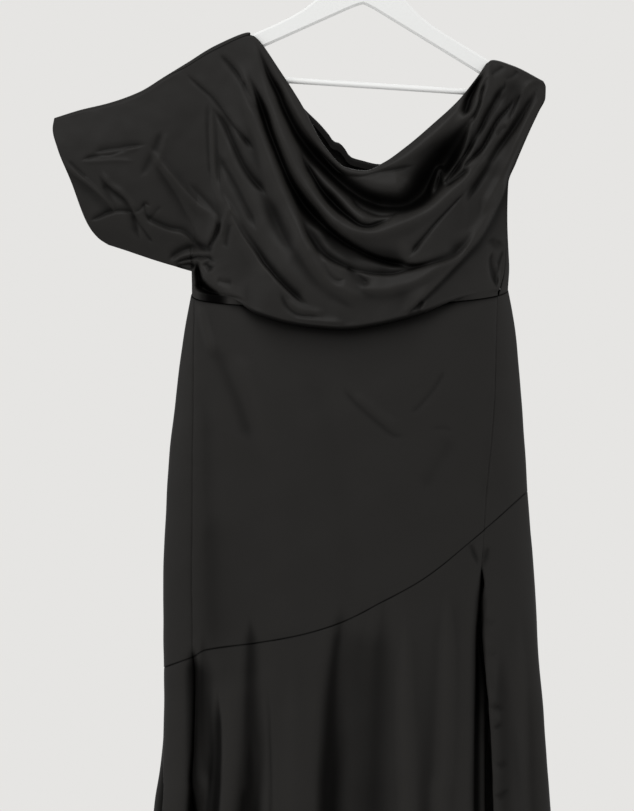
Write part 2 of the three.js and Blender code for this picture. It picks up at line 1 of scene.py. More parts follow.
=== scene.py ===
"""A long black satin dress with a cowl neck, hanging on a white wooden hanger.

Lengths inside the script are millimetres and are turned into metres when a mesh is made.
X points to the viewer's right, Y away from the viewer and Z up. The origin is the point
inside the hanger's hook where it bears on a rail.
"""
import math

import bmesh
import bpy
import numpy as np
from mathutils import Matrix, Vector


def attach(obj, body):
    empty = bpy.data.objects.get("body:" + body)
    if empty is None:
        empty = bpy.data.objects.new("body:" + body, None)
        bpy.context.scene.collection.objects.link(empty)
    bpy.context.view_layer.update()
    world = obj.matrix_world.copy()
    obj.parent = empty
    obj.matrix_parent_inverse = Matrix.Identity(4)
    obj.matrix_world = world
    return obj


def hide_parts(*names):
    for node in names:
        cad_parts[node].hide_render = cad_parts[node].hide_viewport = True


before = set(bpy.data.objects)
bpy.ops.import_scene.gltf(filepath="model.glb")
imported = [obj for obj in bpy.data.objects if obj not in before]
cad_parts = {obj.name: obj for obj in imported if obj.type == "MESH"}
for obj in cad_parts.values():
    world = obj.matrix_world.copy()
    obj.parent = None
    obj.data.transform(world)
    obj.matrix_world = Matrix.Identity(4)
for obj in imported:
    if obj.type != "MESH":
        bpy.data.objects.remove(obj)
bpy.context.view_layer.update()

# Driving sizes
SEAM_GAP = 0.5  # between two panels at a seam
PANEL_TRIM = SEAM_GAP / 8  # how far a skirt panel stops short of its side seams
HEM_Z = -1567.0
WAIST_Z = -494.0
WAIST_RISE = 7.0  # how much higher the waist is at its right end
WAIST_DIP = 20.0  # how much lower it is at the middle of the front
PHOTO_Z = -1126.0  # the photo's lower edge, below which the flutes go on growing
FLUTE_GROWTH = 1.8
FLUTE_ONSET = 220.0  # how far down a flute takes to reach its depth
GRID_ROUNDS = 10  # how often a skirt panel's points are brought closer to their heights
OVER_ARM = 14.0  # how far the strap's front reaches over the hanger's arm
BLOUSE = 15.0  # how far the front stands off the skirt where it hangs over the waist
HANGS_FROM = (2, 13)  # the drops below the seam between which it comes to stand off
TURN_ABOVE = 9.0  # how far above the seam it turns in where it doesn't hang over
TURN_RADIUS = 5.0  # the radius of its turn under
TUCK_GAP = 0.2  # between the end of its turn under and the seam
UNDER_ROWS = 18  # of points in that turn
TURN_SHORTEST = 8.0  # the least length of the turn over the bodice's upper edge
UNDERARM_U = 0.225  # where the underarm and the side seam are, as shares of the columns
SIDE_U = 0.27
SIDE_GAP = 1.3  # how far each half of the bodice stops from the middle at the side
CORNER_LEAN = 3.0  # how far the right side seam leans out at the waist
CLOTH = 0.7  # thickness of the cloth as it is seen
RIPPLE = 0.6  # height of the slight waves all over the cloth
WAVE_POWER = 1.3  # how much lower the shorter of them are
ALLOWANCE = 5.0  # cloth turned in along each seam, its rows by their share of that
TURN_SHARES = (0.15, 0.5, 1.0)
TURN_BACK = 0.35  # how far it turns back under the cloth
CUFF_POWER = 4  # how fast the cuff's own shape and the right edge's fade into the bodice
EDGE_POWER = 5
PUFF_FROM = 0.12  # the bodice is puffed out fully between these columns
PUFF_TO = 0.86
SLEEVE_TO_BODY = (0.22, 0.45)  # and goes from the sleeve's puff to the body's between these
LEFT_SEWN = (0.33, 0.32)  # columns between which the seam over the shoulder begins
RIGHT_SEWN = (0.875, 0.89)  # and the one at the strap
NECK_LEFT = (0.4, 0.5)  # columns between which the shade inside the neck begins
NECK_RIGHT = (0.8, 0.7)
GROOVE_DEPTH = 0.25  # of the dent along a seam
GROOVE_WIDTH = 1.4
PUCKER_HEIGHT = {"side": 0.22, "top": 0.3}  # of the small waves beside it
PUCKER_LENGTH = 7.3
PUCKER_DRIFT = 1.7  # how unevenly they follow one another
PUCKER_DRIFT_LENGTH = 23.0
PUCKER_REACH = 9.0
WRAP = 20.0  # how far to each side of the side seams the front's and the back's folds mix

# How light the cloth looks by its folds. Each row takes how far a place lies below the cloth
# around it, evened out over so many steps of the grid (none being the unfolded cloth): it
# hardly darkens down to the first depth, and is half as light about that much deeper.
HOLLOWS = [
    # steps, from, over
    (0, 4.0, 14.0),
    (24, 0.5, 3.8),
    (260, 1.5, 10.0),
]
HOLLOW_POWER = 1.3
RIDGE_STEPS = 60
RIDGE_RISE = 2.5  # how far a ridge stands out to look lightest
RIDGE_LIGHT = 0.22  # how much lighter it looks then
UNDER_LIGHT = 0.35  # how light the cloth looks where it turns under at the waist
TURNED_LIGHT = 0.3  # and where it is turned in along a seam
BLOUSE_SHADE = 0.8  # how much the cloth just below the blouse is darkened
BLOUSE_REACH = 21.0  # and how far down most of that reaches
BLOUSE_LEAST = 2.0  # and how far it does where nothing hangs over
SKIRT_SHADE = {"upper": 1.3, "lower": 1.6}  # how much deeper its soft folds look than they are
FLUTE_SHADE = 0.35  # and how much of their depth its flutes show
NECK_SHADE = 0.5  # how much the inside of the back is darkened at the neck
NECK_REACH = 30.0
SEAM_SHADE = 0.75  # how much the cloth that dips into a seam is darkened
SEAM_REACH = 1.0
SATIN_COLOR = (0.0158, 0.0147, 0.0134, 1)

# Folds are placed on the front view, in steps of 1.25 mm from its left edge and down from
# its top, because that is how their places were judged. Those that reach its bottom run on.
VIEW_STEP = 1.25
VIEW_LEFT = 370.0
VIEW_TOP = -101.0
VIEW_BOTTOM = 800.0
FURTHER_DOWN = (1000.0, 1500.0)
FOLD_REACH = 2.6  # in half widths, how far from its line a fold is worked out
FOLD_TAPER = 0.18  # the share of its line over which each of its ends fades
FOLD_END_WIDTH = 0.35  # the share of its width that it has there


class Table:
    """Rows with named columns, any of which can be read smoothly against another."""

    def __init__(self, names, rows):
        self.columns = dict(zip(names.split(), np.array(rows, float).T))

    def read(self, key, name):
        keys, values = self.columns[key], self.columns[name]
        if keys[0] > keys[-1]:
            keys, values = keys[::-1], values[::-1]
        rises = np.diff(values) / np.diff(keys)
        product = rises[:-1] * rises[1:]
        total = np.where(rises[:-1] + rises[1:] == 0, 1, rises[:-1] + rises[1:])
        inner = np.where(product <= 0, 0, 2 * product / total)
        slopes = np.concatenate([rises[:1], inner, rises[-1:]])

        def value(place):
            at = np.clip(place, keys[0], keys[-1])
            i = np.clip(np.searchsorted(keys, at, side="right") - 1, 0, len(keys) - 2)
            step = keys[i + 1] - keys[i]
            t = (at - keys[i]) / step
            t2, t3 = t * t, t * t * t
            near = values[i] * (2 * t3 - 3 * t2 + 1) + slopes[i] * step * (t3 - 2 * t2 + t)
            far = values[i + 1] * (3 * t2 - 2 * t3) + slopes[i + 1] * step * (t3 - t2)
            return near + far

        return value


def mix(a, b, t):
    return a + (b - a) * t


def smooth(start, end, x):
    t = np.clip((x - start) / (end - start), 0, 1)
    return t * t * (3 - 2 * t)


# The skirt's left and right edges seen from the front, and half its depth, at each height
LEVELS = Table("z left right deep", [
    (-480, -219, 171, 39),
    (-539, -231, 181.5, 45),
    (-626, -243, 189.5, 51),
    (-751, -254, 197.5, 55),
    (-876, -258, 209, 58),
    (-1001, -257, 221.5, 62),
    (-1045, -257.5, 225, 64.5),
    (-1126, -268, 231, 70),
    (-1350, -289, 248, 86),
    (-1570, -312, 266, 102),
])
left_edge = LEVELS.read("z", "left")
right_edge = LEVELS.read("z", "right")
half_depth = LEVELS.read("z", "deep")

# The slanting seam: its height against the place across, from -1 at the left edge to 1
SLANT = Table("across z", [
    (-1.0, -960),
    (-0.84, -945),
    (-0.78, -937),
    (-0.5, -927),
    (-0.27, -917),
    (-0.05, -901),
    (0.16, -877),
    (0.38, -850),
    (0.7, -795),
    (1.0, -740),
])
slant = SLANT.read("across", "z")

# The x of the side seams on the front, the right one parting into the slit's two edges
SEAMS = Table("z left front back", [
    (-480, -218.7, 160, 160),
    (-539, -219.5, 158, 158),
    (-626, -220.5, 155, 155),
    (-751, -221, 144, 144),
    (-832, -222, 138.5, 138.5),
    (-843, -222, 137.5, 140.5),
    (-856, -222, 137, 142),
    (-866, -222, 136.5, 139.5),
    (-880, -221.5, 135.5, 138.5),
    (-913, -221, 132.5, 139.2),
    (-951, -221, 132, 142),
    (-1001, -221, 131, 146.5),
    (-1063, -221, 130, 150.5),
    (-1126, -221, 129.5, 152.5),
    (-1350, -226, 129.5, 160),
    (-1570, -232, 130, 167),
])
left_seam = SEAMS.read("z", "left")
slit_front = SEAMS.read("z", "front")
slit_back = SEAMS.read("z", "back")
SLIT_TOP_Z = -832.0
SLIT_ONSET = 80.0  # how far down from there the waves beside it begin
SLIT_WAVE = 0.9  # height of the small waves beside the slit's back edge
SLIT_REACH = 14.0  # how far from that edge they reach

# The facing turned in along the slit's front edge, part of which is seen in the slit: how far
# each line of it lies across from the edge and inward, and how light it looks
SLIT_FACING = [
    # across, inward, light
    (2.0, 5.0, 0.12),
    (6.0, 8.0, 0.16),
    (9.0, 8.2, 0.35),
    (11.5, 8.6, 0.72),
    (14.5, 9.0, 0.8),
    (17.0, 9.6, 0.6),
    (18.5, 11.0, 0.1),
]
FACING_OPENS = (-930, -1070)  # heights between which it comes out of the dark
FACING_DIM = 0.15  # how light it is above them
FACING_FITS = (2, 16)  # widths of the slit between which the facing unfolds

# The flutes of the lower skirt: the angle of each trough, 0 at the left edge, 90 at the
# front, 180 at the right edge and 270 at the back, with its half width, its depth, and how
# far below the slanting seam it begins
FLUTES = [
    (37.3, 11, 13, 0),
    (57, 20, 13, 10),
    (82, 17, 13, 0),
    (112, 20, 6, 60),
    (150, 16, 9, 120),
    (178, 12, 7, 60),
    (203, 17, 12, 60),
    (228, 20, 15, 20),
    (252, 19, 12, 70),
    (274, 20, 15, 10),
    (297, 18, 11, 50),
    (320, 19, 14, 30),
    (345, 13, 9, 80),
]


def ring(angle, z):
    left, right = left_edge(z), right_edge(z)
    x = (left + right) / 2 - (right - left) / 2 * np.cos(angle)
    return x, -half_depth(z) * np.sin(angle)


def front_angle(x, z):
    left, right = left_edge(z), right_edge(z)
    return np.arccos(np.clip(1 - 2 * (x - left) / (right - left), -1, 1))


def flute_depth(angle, z):
    below = slant(-np.cos(angle)) - z
    x, y = ring(angle, z)
    growth = mix(1, FLUTE_GROWTH, np.clip((PHOTO_Z - z) / (PHOTO_Z - HEM_Z), 0, 1))
    depth = np.zeros_like(x)
    for trough, width, deep, start in FLUTES:
        trough_x, trough_y = ring(math.radians(trough), z)
        away = np.hypot(x - trough_x, y - trough_y) / width
        depth += deep * growth * smooth(start, start + FLUTE_ONSET, below) * np.exp(-away * away)
    return depth


def flute_depth_at(points):
    """The depth of the flutes at points of the skirt, told by their angle round it."""
    z = points[..., 2]
    left, right = left_edge(z), right_edge(z)
    across = (left + right - 2 * points[..., 0]) / (right - left)
    return flute_depth(np.arctan2(-points[..., 1] / half_depth(z), across), z)


def skirt_points(angle, z):
    x, y = ring(angle, z)
    ahead, behind = ring(angle + 0.01, z), ring(angle - 0.01, z)
    out = np.array([ahead[1] - behind[1], behind[0] - ahead[0]])
    out /= np.hypot(*out)
    depth = flute_depth(angle, z)
    return np.stack([x - out[0] * depth, y - out[1] * depth, z + 0 * x], -1)


def waist_height(angle):
    dip = WAIST_DIP * np.maximum(0, np.sin(angle)) ** 0.8
    return WAIST_Z + WAIST_RISE * (1 - np.cos(angle)) / 2 - dip


# The upper edge of each half of the bodice, from the cuff on the left, over the shoulder,
# down and up the neckline, to the end of the strap on the right: where its crest lies, how
# far in front of the hanger's middle the cloth hangs there, the radius of its turn over the
# crest, and how far along that turn the cloth begins, less than nothing being behind it
SLEEVE_TOP = [
    (0.0, -394, -274, 4, 4, 0),
    (0.05, -362, -264, 5, 5, 0),
    (0.1, -325, -255, 6, 6, 0),
    (0.15, -287, -241, 7.4, 7.4, 0),
    (0.19, -256, -222, 7.4, 7.4, 4),
    (0.225, -229, -205.5, 7.4, 7.4, 9),
    (0.27, -194, -184, 7.4, 7.4, 10),
]
FRONT_TOP = Table("u x z fore turn start", [
    *SLEEVE_TOP,
    (0.32, -150, -167, 7.4, 7.4, 8),
    (0.35, -138, -178, 9.4, 1.8, 0.6),
    (0.385, -112, -216, 12, 1.8, 0),
    (0.42, -87, -255, 15, 2.6, -8),
    (0.47, -56, -311, 21, 3, -12),
    (0.52, -30, -337, 26, 3, -12),
    (0.57, -6, -341, 28, 3, -12),
    (0.62, 17, -331, 27, 3, -12),
    (0.68, 45, -311, 22, 3, -12),
    (0.75, 80, -281, 16, 2.6, -8),
    (0.81, 111, -252, 11, 1.8, 0),
    (0.85, 137, -219, 9.8, 1.8, 0.6),
    (0.872, 147, -204.5, 9.4, 7.4, 3),
    (0.892, 154, -201.5, 7.8, 7.4, -OVER_ARM),
    (0.94, 180, -209, 7.4, 7.4, -OVER_ARM),
    (1.0, 216, -227.5, 7.4, 7.4, -OVER_ARM),
])
BACK_TOP = Table("u x z fore turn start", [
    *((*row, -start) for *row, start in SLEEVE_TOP),
    (0.318, -152, -167, 7.4, 7.4, -8),
    (0.335, -147, -168, 7.4, 7.4, 12),
    (0.36, -136, -182, 9.4, 1.8, 0.6),
    (0.4, -110, -225, 10, 1.8, 0),
    (0.45, -84, -259.5, 12, 2.6, -8),
    (0.485, -61, -282.5, 13, 3, -10),
    (0.502, -50.5, -295, 13.5, 3, -11),
    (0.515, -45, -302.5, 14, 3, -12),
    (0.528, -38, -304.5, 14, 3, -12),
    (0.543, -31, -312, 14.5, 3, -12),
    (0.557, -24.5, -321.5, 15, 3, -12),
    (0.58, -11, -326, 15, 3, -12),
    (0.62, 13, -331, 15, 3, -12),
    (0.7, 58, -303, 14, 3, -12),
    (0.77, 88, -277, 12, 2.6, -8),
    (0.82, 112, -254, 10, 1.8, 0),
    (0.86, 137, -220, 9.4, 1.8, 0.6),
    (0.885, 152, -202, 7.4, 7.4, OVER_ARM),
    (0.94, 180, -210, 7.4, 7.4, OVER_ARM),
    (1.0, 216, -227.5, 7.4, 7.4, OVER_ARM),
])

# The lower edge of the sleeve, from the cuff to the side seam; the waist goes on from there
UNDERSIDE = Table("u x z", [
    (0.0, -327, -432),
    (0.05, -307, -438.5),
    (0.12, -270, -451),
    (0.19, -237, -461),
    (0.225, -220, -466),
])

# The cuff, and the right edge: the armhole, then the side seam
CUFF = Table("v x z fore", [
    (0, -394, -274, 4),
    (0.08, -396, -287, 6),
    (0.25, -389.5, -313, 11),
    (0.5, -373, -353, 13),
    (0.8, -352, -407, 9),
    (0.93, -339, -424, 4),
    (1, -327, -432, 1.3),
])
RIGHT_EDGE = [
    (0, 216, -227.5, 7.4, 7.4),
    (0.05, 219.5, -236, 7.4, 7.4),
    (0.1, 219, -249, 8.5, 8.5),
    (0.17, 211, -266, 9, 9),
    (0.27, 200, -289, 9, 9),
    (0.43, 182, -331, 5, 5),
    (0.52, 173, -355, 1.5, 1.5),
    (0.7, 171, -405, 1.6, 1.4),
    (0.9, 168, -462, 6, -3),
]

# How far the bodice hangs below the waist seam, against the place across the waist
OVERHANG = Table("x drop", [
    (-219, 0),
    (-190, 0.3),
    (-168, 4),
    (-135, 13),
    (-100, 22),
    (-62, 27),
    (-31, 29),
    (6, 25),
    (37, 19),
    (87, 8),
    (125, 3.5),
    (150, 0.8),
    (171, 0),
])
overhang = OVERHANG.read("x", "drop")


def folds_in(table):
    """The folds of a table, each a line of: how far it stands out, or sinks if less than nothing,
    its half width on the left and the right hand of someone walking it, and then its points.
    A point is x,y or x,y,size, where the size is the fold's share of its full size there.
    A line that begins with spaces goes on from the one above it."""
    folds = []
    for line in table.strip().replace("\n  ", " ").splitlines():
        if not line.startswith("#"):
            sizes, path = line.split(":")
            points = [(*map(float, point.split(",")), 1.0)[:3] for point in path.split()]
            folds.append((*map(float, sizes.split()), points))
    return folds


# The folds of the bodice's front
FRONT_FOLDS = folds_in("""
# the deep trough below the roll of the cowl, and its branch
-12 6.5 5: 253,38,.4 259,50,.5 264,63,.55 270,78,.6 278,93,.7 284,108,.8 291,122,.9 298,135,1.1
  306,146,1.3 316,157,1.4 327,169,1.5 339,181,1.5 350,190,1.5 364,199,1.6 382,205,1.7 402,206,1.9
  418,197,2.4 430,181,2.7 445,162,2.6 458,143,2.1 467,128,1.7 472,116,1.2 476,104,.6
-5 10 11: 296,142,.5 308,160,.8 322,178 338,196 356,208 376,213 398,211,.8
-9 3.5 4: 299,146,.6 304,160,.7 309,170,.8 315,180,.9 321,190,1.2 330,201,1.6 340,211,1.5 350,219,1.1
  359,226,.9 368,228,.8 378,225,.7 390,220,.6 402,213,.5
-3.5 2 2: 350,197 357,207 366,213 378,217 390,217 400,213
3.5 5 4.5: 309,158,.6 320,172,.8 330,185 341,199 352,211 364,219 376,220,.7
# the roll of the neckline
5 7 6: 262,45,.6 275,68,.7 290,95,.8 303,120 316,141 332,158 352,169 375,170 396,163 416,150 436,133
  455,112 470,92,.7
-2.6 2.2 2.6: 345,176 362,177 380,173 398,170 416,166
# the long swag below the deep trough
7 7 8: 252,52,.5 262,75,.7 268,95,.8 275,115,.9 282,135 290,153 298,170 307,186 316,200 326,212 336,222
  347,230 360,234 374,235 388,231 402,225 416,217 430,208 444,198 457,188 470,178 482,164 492,149 502,133
  512,116 522,99,.8
# the second deep trough, which parts into two below the swag
-5 12 10: 282,170,.4 296,196,.7 310,218 326,237 344,252 366,262 392,267 416,267,.7
-12 5 5: 245,66,.4 251,81,.7 257,95,.9 261,107 266,121 270,133 275,146 280,159 285,171 290,182,1.1
  297,194,1.2 305,206,1.4 314,216,1.4 324,226,1.1 334,235,.8 346,244,.65 358,251,.5 370,257,.5 383,262,.55
  396,265,.7 409,267,.9 422,266,.8 432,262,.6
-6 13 5: 316,226,.5 332,240,.8 350,251 370,258 392,262 412,262,.8
-7 5 3: 295,203,.9 301,218,1.4 307,232,1.4 315,245,1.3 325,256,1.1 338,264,.9 350,269,.8 362,273,.7
  376,275,.6 391,275,.6 405,272,.6 419,268,.7 432,264,.8 445,260,1.1 454,255,1.4 462,247,1.6 469,238,1.4
  475,230,.8
-1.5 4 4: 314,228,.7 326,242 339,253 353,262 367,269 381,272 395,270,.7
-4 2 8: 345,267,.6 353,273 362,279 371,286,.8
# the lit fold outside it, and the wide soft troughs that run down to the waist
6 9 11: 236,55,.5 245,80,.6 254,110,.7 262,135,.8 270,158 279,182 288,205 297,226 306,244 314,259 322,273
  332,285 344,292 358,296 372,296
-3.5 2.2 5: 312,243,.7 318,256 324,267 330,276 338,282,.9 346,279,.6
-3.6 9 8: 255,190,.5 266,201,.7 274,216 282,231 289,244 297,257 306,270 317,282 330,292 343,302 356,313
-3 4.5 4: 218,150,.7 224,165 231,178 238,191 245,205 252,219 259,234,.8
5 8 5: 352,284,.6 366,290,.9 382,291 398,288 414,282 430,273 446,263 462,251 476,237 488,217 498,196,.8
-6 7 1.6: 226,206,.4 236,222,.6 246,238,.7 256,252,.8 264,264 272,273 281,283 290,292 300,301 312,309,.8
3 2.5 9: 222,190,.6 232,212 243,232 254,250 265,268 276,282
-3 9 9: 244,120,.5 254,150 262,178 272,206 284,232 296,256
# the layer that ends at the crease running in from the armhole
6 1.8 16: 546,98,.5 535,120,.7 526,138,.8 516,158,.9 508,177 501,195 494,211 486,227 477,241 466,253
  454,266 442,279 430,291 418,302 407,312,.8 398,321,.6
-3.6 1.8 2.4: 470,187,.6 458,200,.7 446,213,.8 434,226,.9 424,238 415,249,1.3 407,260,1.5
-2 3 1.4: 499,200,.4 487,227,.7 472,250,.8 454,269 438,285 422,301 410,313 401,323,.8
-2.4 2 2.5: 421,300 419,309 416,319
# tucks out of the shoulder seam
-3.2 1.8 2.6: 182,70,.6 193,80,.7 204,90,.7 213,98,.7 221,108,.8 228,118,.9 235,128 243,137,1.2
  250,145,1.2 256,152,.9
-3 2 3: 218,52,.6 226,60,.8 234,69 241,79 247,93 253,107 260,121
-2.4 1.6 1.6: 243,80 248,90 253,101 258,113
-5 4.5 3.5: 210,105,.5 219,116,.7 227,128,.9 233,142 239,156 245,168 253,180 262,190,.9 270,198,.6
# folds along the lower edge of the overhang
-2 2.6 2.6: 281,290,.6 284,301 290,310 300,316 312,317 323,318,.6
1.6 4 5: 286,300,.7 298,309 312,313 326,312,.7
3 5 5: 290,322,.7 308,324 328,325 345,322,.6
# the pocket of shadow below the underarm
5 16 1.8: 199,259,.6 201,266,.8 204,275 209,283 217,290 227,298 238,304,.9 250,309,.6
-10 4 6: 198,262,.5 199,272,.8 202,282 208,290,1.2 216,295,1.1 226,300,.9 236,304,.6
-6 6 6: 198,280,.8 203,290 212,297,.9 222,302,.7
-8 3.5 5: 204,290,.6 214,297,.8 226,302 238,307,.8 250,312,.6
-5 4 4: 206,262 209,267 212,272
-2 3 3: 217,281 225,283 234,284
# the pleats down the middle of the sleeve
-1.6 2.4 2.4: 209,100,.7 208,120 209,140 210,163 212,186,.7
-1.8 2.4 2.4: 213,104,.7 216,128 217,150 219,172 222,192,.7
2 3 3: 212,108,.7 213,140 214,170 218,196 226,214,.7
# the sleeve
-2 4.4 1.4: 92,154,.6 105,151 118,149 132,147 150,145,.6
1.4 1.5 2.5: 94,156 110,154 126,151 142,148
-2.2 2.2 1.4: 80,162,.5 90,158 101,156 112,155 122,152 132,150,.6
0.9 2 2: 82,163 100,162 118,161 136,162
-1.8 4.5 3.6: 163,130,.6 158,142 153,154 147,166 140,180,.6
0.8 3 3: 168,132 164,146 160,158 155,170
2.4 2 7: 50,146 60,158 72,169 84,179 96,190 106,200 118,213
-3.4 2 9: 52,152 62,164 74,176 86,186 98,196 110,208 114,214
-1.4 1.8 1.8: 68,160 79,171 88,180
-3 2 5: 98,172,.5 105,183,.8 113,191,.9 121,197 127,202 132,211 135,222 138,233 141,248,.6
1.8 3 2: 101,170 110,184 122,193 130,203 136,214
-1.2 2 3: 103,183 108,193 113,203 118,211
-2 1.6 2.4: 132,212 139,223 146,233 155,245
-3 3.2 1.8: 88,222,.6 100,217 110,213 122,211 136,213,.7
-1.8 1.6 1.6: 134,214 141,209 146,203 151,208
-1.6 1.8 1.8: 144,202 146,212 151,223
-1.2 2 2: 149,219 155,213 162,206
-2.8 5 1.8: 142,212,.7 150,219 160,224 170,228 181,230 189,235 197,243 208,256
2 2 5: 146,222 158,228 172,233 184,236 196,246
1.6 2 5: 150,147 158,158 172,176 186,193 199,206 212,218
-1.7 2.4 8: 152,158,.5 163,176,.8 173,192 181,206 189,221 198,238,.7
2.2 1.6 5: 156,154 170,172 185,190 199,204 210,213 215,222 214,234 208,250
-1.4 5 1.6: 186,180,.6 199,194 211,206 219,216 220,226
-4.5 3 2.6: 221,220,.6 218,230 214,239 208,249,.7
2 1.6 2: 231,206 227,217 224,226 222,238
-1.8 3 3: 232,222 228,236 226,250
-4.2 5 3: 167,262,.5 176,254,.9 186,249 197,247 208,249 215,253,.8
2.4 1.6 2.4: 169,265 179,259 190,255 202,254 212,259
-4.5 1.6 1.6: 173,264,.6 182,260 191,258 200,257 209,258 217,263,.7
2 1.4 1.6: 175,266 187,262 198,261 210,264 218,268
-6 3 3.5: 174,267,.6 186,266 197,265
-6 2.6 2.6: 197,260 198,271 199,281 200,292
# the strap on the right
-4 16 13: 522,72,.5 508,98 494,122 482,146 470,166,.6
-4 9 9: 500,84,.5 494,106,.8 484,128 474,148 464,166,.8
-9 3.5 5: 485,72,.5 477,84,.9 471,96 467,108 463,119,.7
3.5 1.8 2: 489,76,.6 482,82 479,92 477,102 473,112 467,121,.7
-4.5 2 2.4: 486,82,.7 481,93 479,104 475,115 472,124,.8
6 2.4 2.6: 474,118,.6 470,128 468,138 465,148 460,158 453,168 446,178 441,188,.6
-4.6 2 4: 502,76,.5 505,85,.6 500,93,.8 494,103,.8 487,115,.9 480,129 474,139 468,151,1.2 460,164,1.4
  451,176,1.3 443,185,.6
3 2.4 2.4: 510,90,.6 501,106 493,118 485,132 478,144 471,153 462,164,.8 452,175,.6
-4 1.6 1.8: 518,91,.8 512,103 505,112 498,120 492,130 487,140 481,150 473,158 465,167,1.2 463,175,1.2
-5 3 3: 470,168,.7 461,176 452,183 444,189,.7
8 3 2.6: 431,200,.7 433,188 437,176 440,170 443,178 445,188,.7
3 1.5 1.6: 541,79,.6 530,84 524,91 519,102 513,115 507,127,.7
-4.5 1.6 1.6: 521,92,.6 517,103 513,112 508,123,.8
-2.4 2 2: 507,126 501,131 497,138
-6 3.4 6: 540,84,.3 534,95,.5 528,106,.7 521,118,.8 513,130,.9 505,140 497,150,1.1 490,161,1.2 484,172,1.2
  477,184,1.1 470,196 462,208,.7
5 5 6: 543,92,.6 536,108 528,124 520,141 511,158 503,174 495,190 487,205 478,220,.6
-1.8 2 2: 504,66 498,71 489,76
-1.8 2 2: 518,70 513,76 503,80
# gathers beside the right side seam
-3 3.6 2: 493,250,.5 490,260,.8 491,271 494,281 499,291,.6
-3 2 3.4: 504,248,.5 501,258,.8 498,268 497,277 499,288,.5
-2 1.6 1.6: 508,272 506,283 503,293
1.4 2 2: 496,262 497,275 500,290
-1.5 5 5: 489,238 495,246 500,240
""")

# The folds of the bodice's back, on the same view as if seen through the front
BACK_FOLDS = folds_in("""
-6 9 14: 250,71 290,155 350,203 418,179 482,99
4 8 12: 238,90 272,180 345,232 430,210 495,125
-5 7 14: 218,107 266,203 346,243 442,219 510,123
4 8 12: 215,150 262,232 340,268 430,250 485,190
-3 6 9: 225,210 262,262 330,285 410,275
-4 6 9: 90,150 154,179 198,243
-3 4 6: 75,170 110,205 140,240
-3 4 6: 120,140 165,165 205,215
-1.6 5 7: 292,290 284,262 268,232
-1.4 5 8: 276,292 274,268
-1.6 5 8: 434,290 440,256 428,228
-1.2 5 6: 380,292 385,268
-3 4 6: 520,90 508,140 490,190
""")

# The soft folds of the skirt's front, and of its back seen through the front
SKIRT_FRONT_FOLDS = folds_in("""
# soft creases from the left end of the waist
1.5 4 4: 200,303 204,320 209,338 214,356
-1 9 9: 212,338,.7 220,360 229,381 238,402 246,424 254,446
1 9 9: 232,350 246,384 258,420 268,470
-1.2 14 12: 204,380 205,440 207,500 209,560 211,620 213,680
-1.4 34 24: 214,500,.5 218,570 222,640 226,700,.8
0.5 6 6: 199,400 198,470 199,560
# thin creases across the middle
-0.8 2.2 4: 340,385 352,399 366,412 380,424 393,434 408,436
0.8 4 4: 352,392 368,405 384,418 398,428
-0.8 2.2 3: 408,415 418,406 428,395 438,381 445,368
-0.5 2 3: 430,428 442,427 452,431
-0.6 9 9: 452,436 444,452 432,470 420,492
-0.4 14 16: 300,350 330,440 345,560 345,640
0.8 16 18: 262,360 275,470 280,600 286,640
-0.4 6 6: 496,330 492,400 486,460 480,520
# the lower skirt, from left to right
-8 6.5 7: 195,640,.6 195,668,.9 196,720,.9 196,770,.85 196,811,.75
-5.5 12 5: 203,625,.6 203,690 205,760 207,811,.9
-6 4.5 8: 219,680,.4 219,730,.8 218,770 216,811
-2.6 4 15: 192,640,.4 193,690,.9 195,811
# the edge of the front's first roll, with the back's flute showing behind it
-5 1.2 9: 163.5,705,.3 163,740,.7 162,775,.9 161,811
0.6 5 5: 230,640,.6 230,730,.9 230,811
-4 14 9: 251,606,.2 251,640,.6 250,690,.8 249,750,.9 245,811
-2 5 3: 251,720,.5 249,780,.8 245,811
-1.2 3 2: 268,670,.5 270,730,.8 271,811
2 12 12: 292,640,.6 290,811
-3.4 40 10: 342,596,.4 336,630,.6 332,670,.8 329,710,.9 328,760 327,811
-1.4 5 4: 344,606,.6 337,640,.8 332,690 329,760 327,811
-2 24 18: 366,580,.4 362,660,.8 361,760,.9 360,811
-2.7 19 14: 384,570,.4 380,660,.8 377,760,.9 376,811
2 8 6: 404,600,.6 403,700 406,811
2.5 9 8: 446,570,.5 445,660,.9 442,760 438,811
-4.5 5 7: 481,550,.5 480,600,.8 478,650,.9 478,740 477,811
-1.7 14 10: 499,620,.4 500,700,.8 503,760 504,811
-0.9 2.5 2.5: 487,700,.6 494,704 503,705,.6
-1 2 2: 488,722,.6 494,724 502,721,.6
0.7 3 3: 489,713,.6 499,714
-0.7 3 3: 492,758,.6 499,762 507,757,.6
-0.9 3 3: 492,791,.6 499,792 508,785,.6
-0.7 2 2: 482,618,.6 488,621 495,620,.6
-0.6 2 2: 484,650,.6 490,652 497,650,.6
2 8 8: 515,600 520,720 522,811
-0.9 8 8: 526,660,.6 528,760 530,811
# small gathers above the slit
-1.2 3 3: 468,541,.6 473,552 478,564,.6
1 2 2: 475,540,.6 478,552 480,562,.6
-1.2 3 3: 487,544,.6 485,554 483,566,.6
""")
SKIRT_BACK_FOLDS = folds_in("""
-1 6 10: 222,318 246,366 280,410
-0.8 6 9: 478,312 452,362 418,410
1 16 18: 290,330 285,480 275,640
-0.9 14 16: 392,330 384,470 366,640
1 14 16: 430,380 438,500 446,640
-1.5 8 10: 300,660 298,800
-1.5 7 9: 398,620 402,760
2 9 10: 350,640 350,800
""")


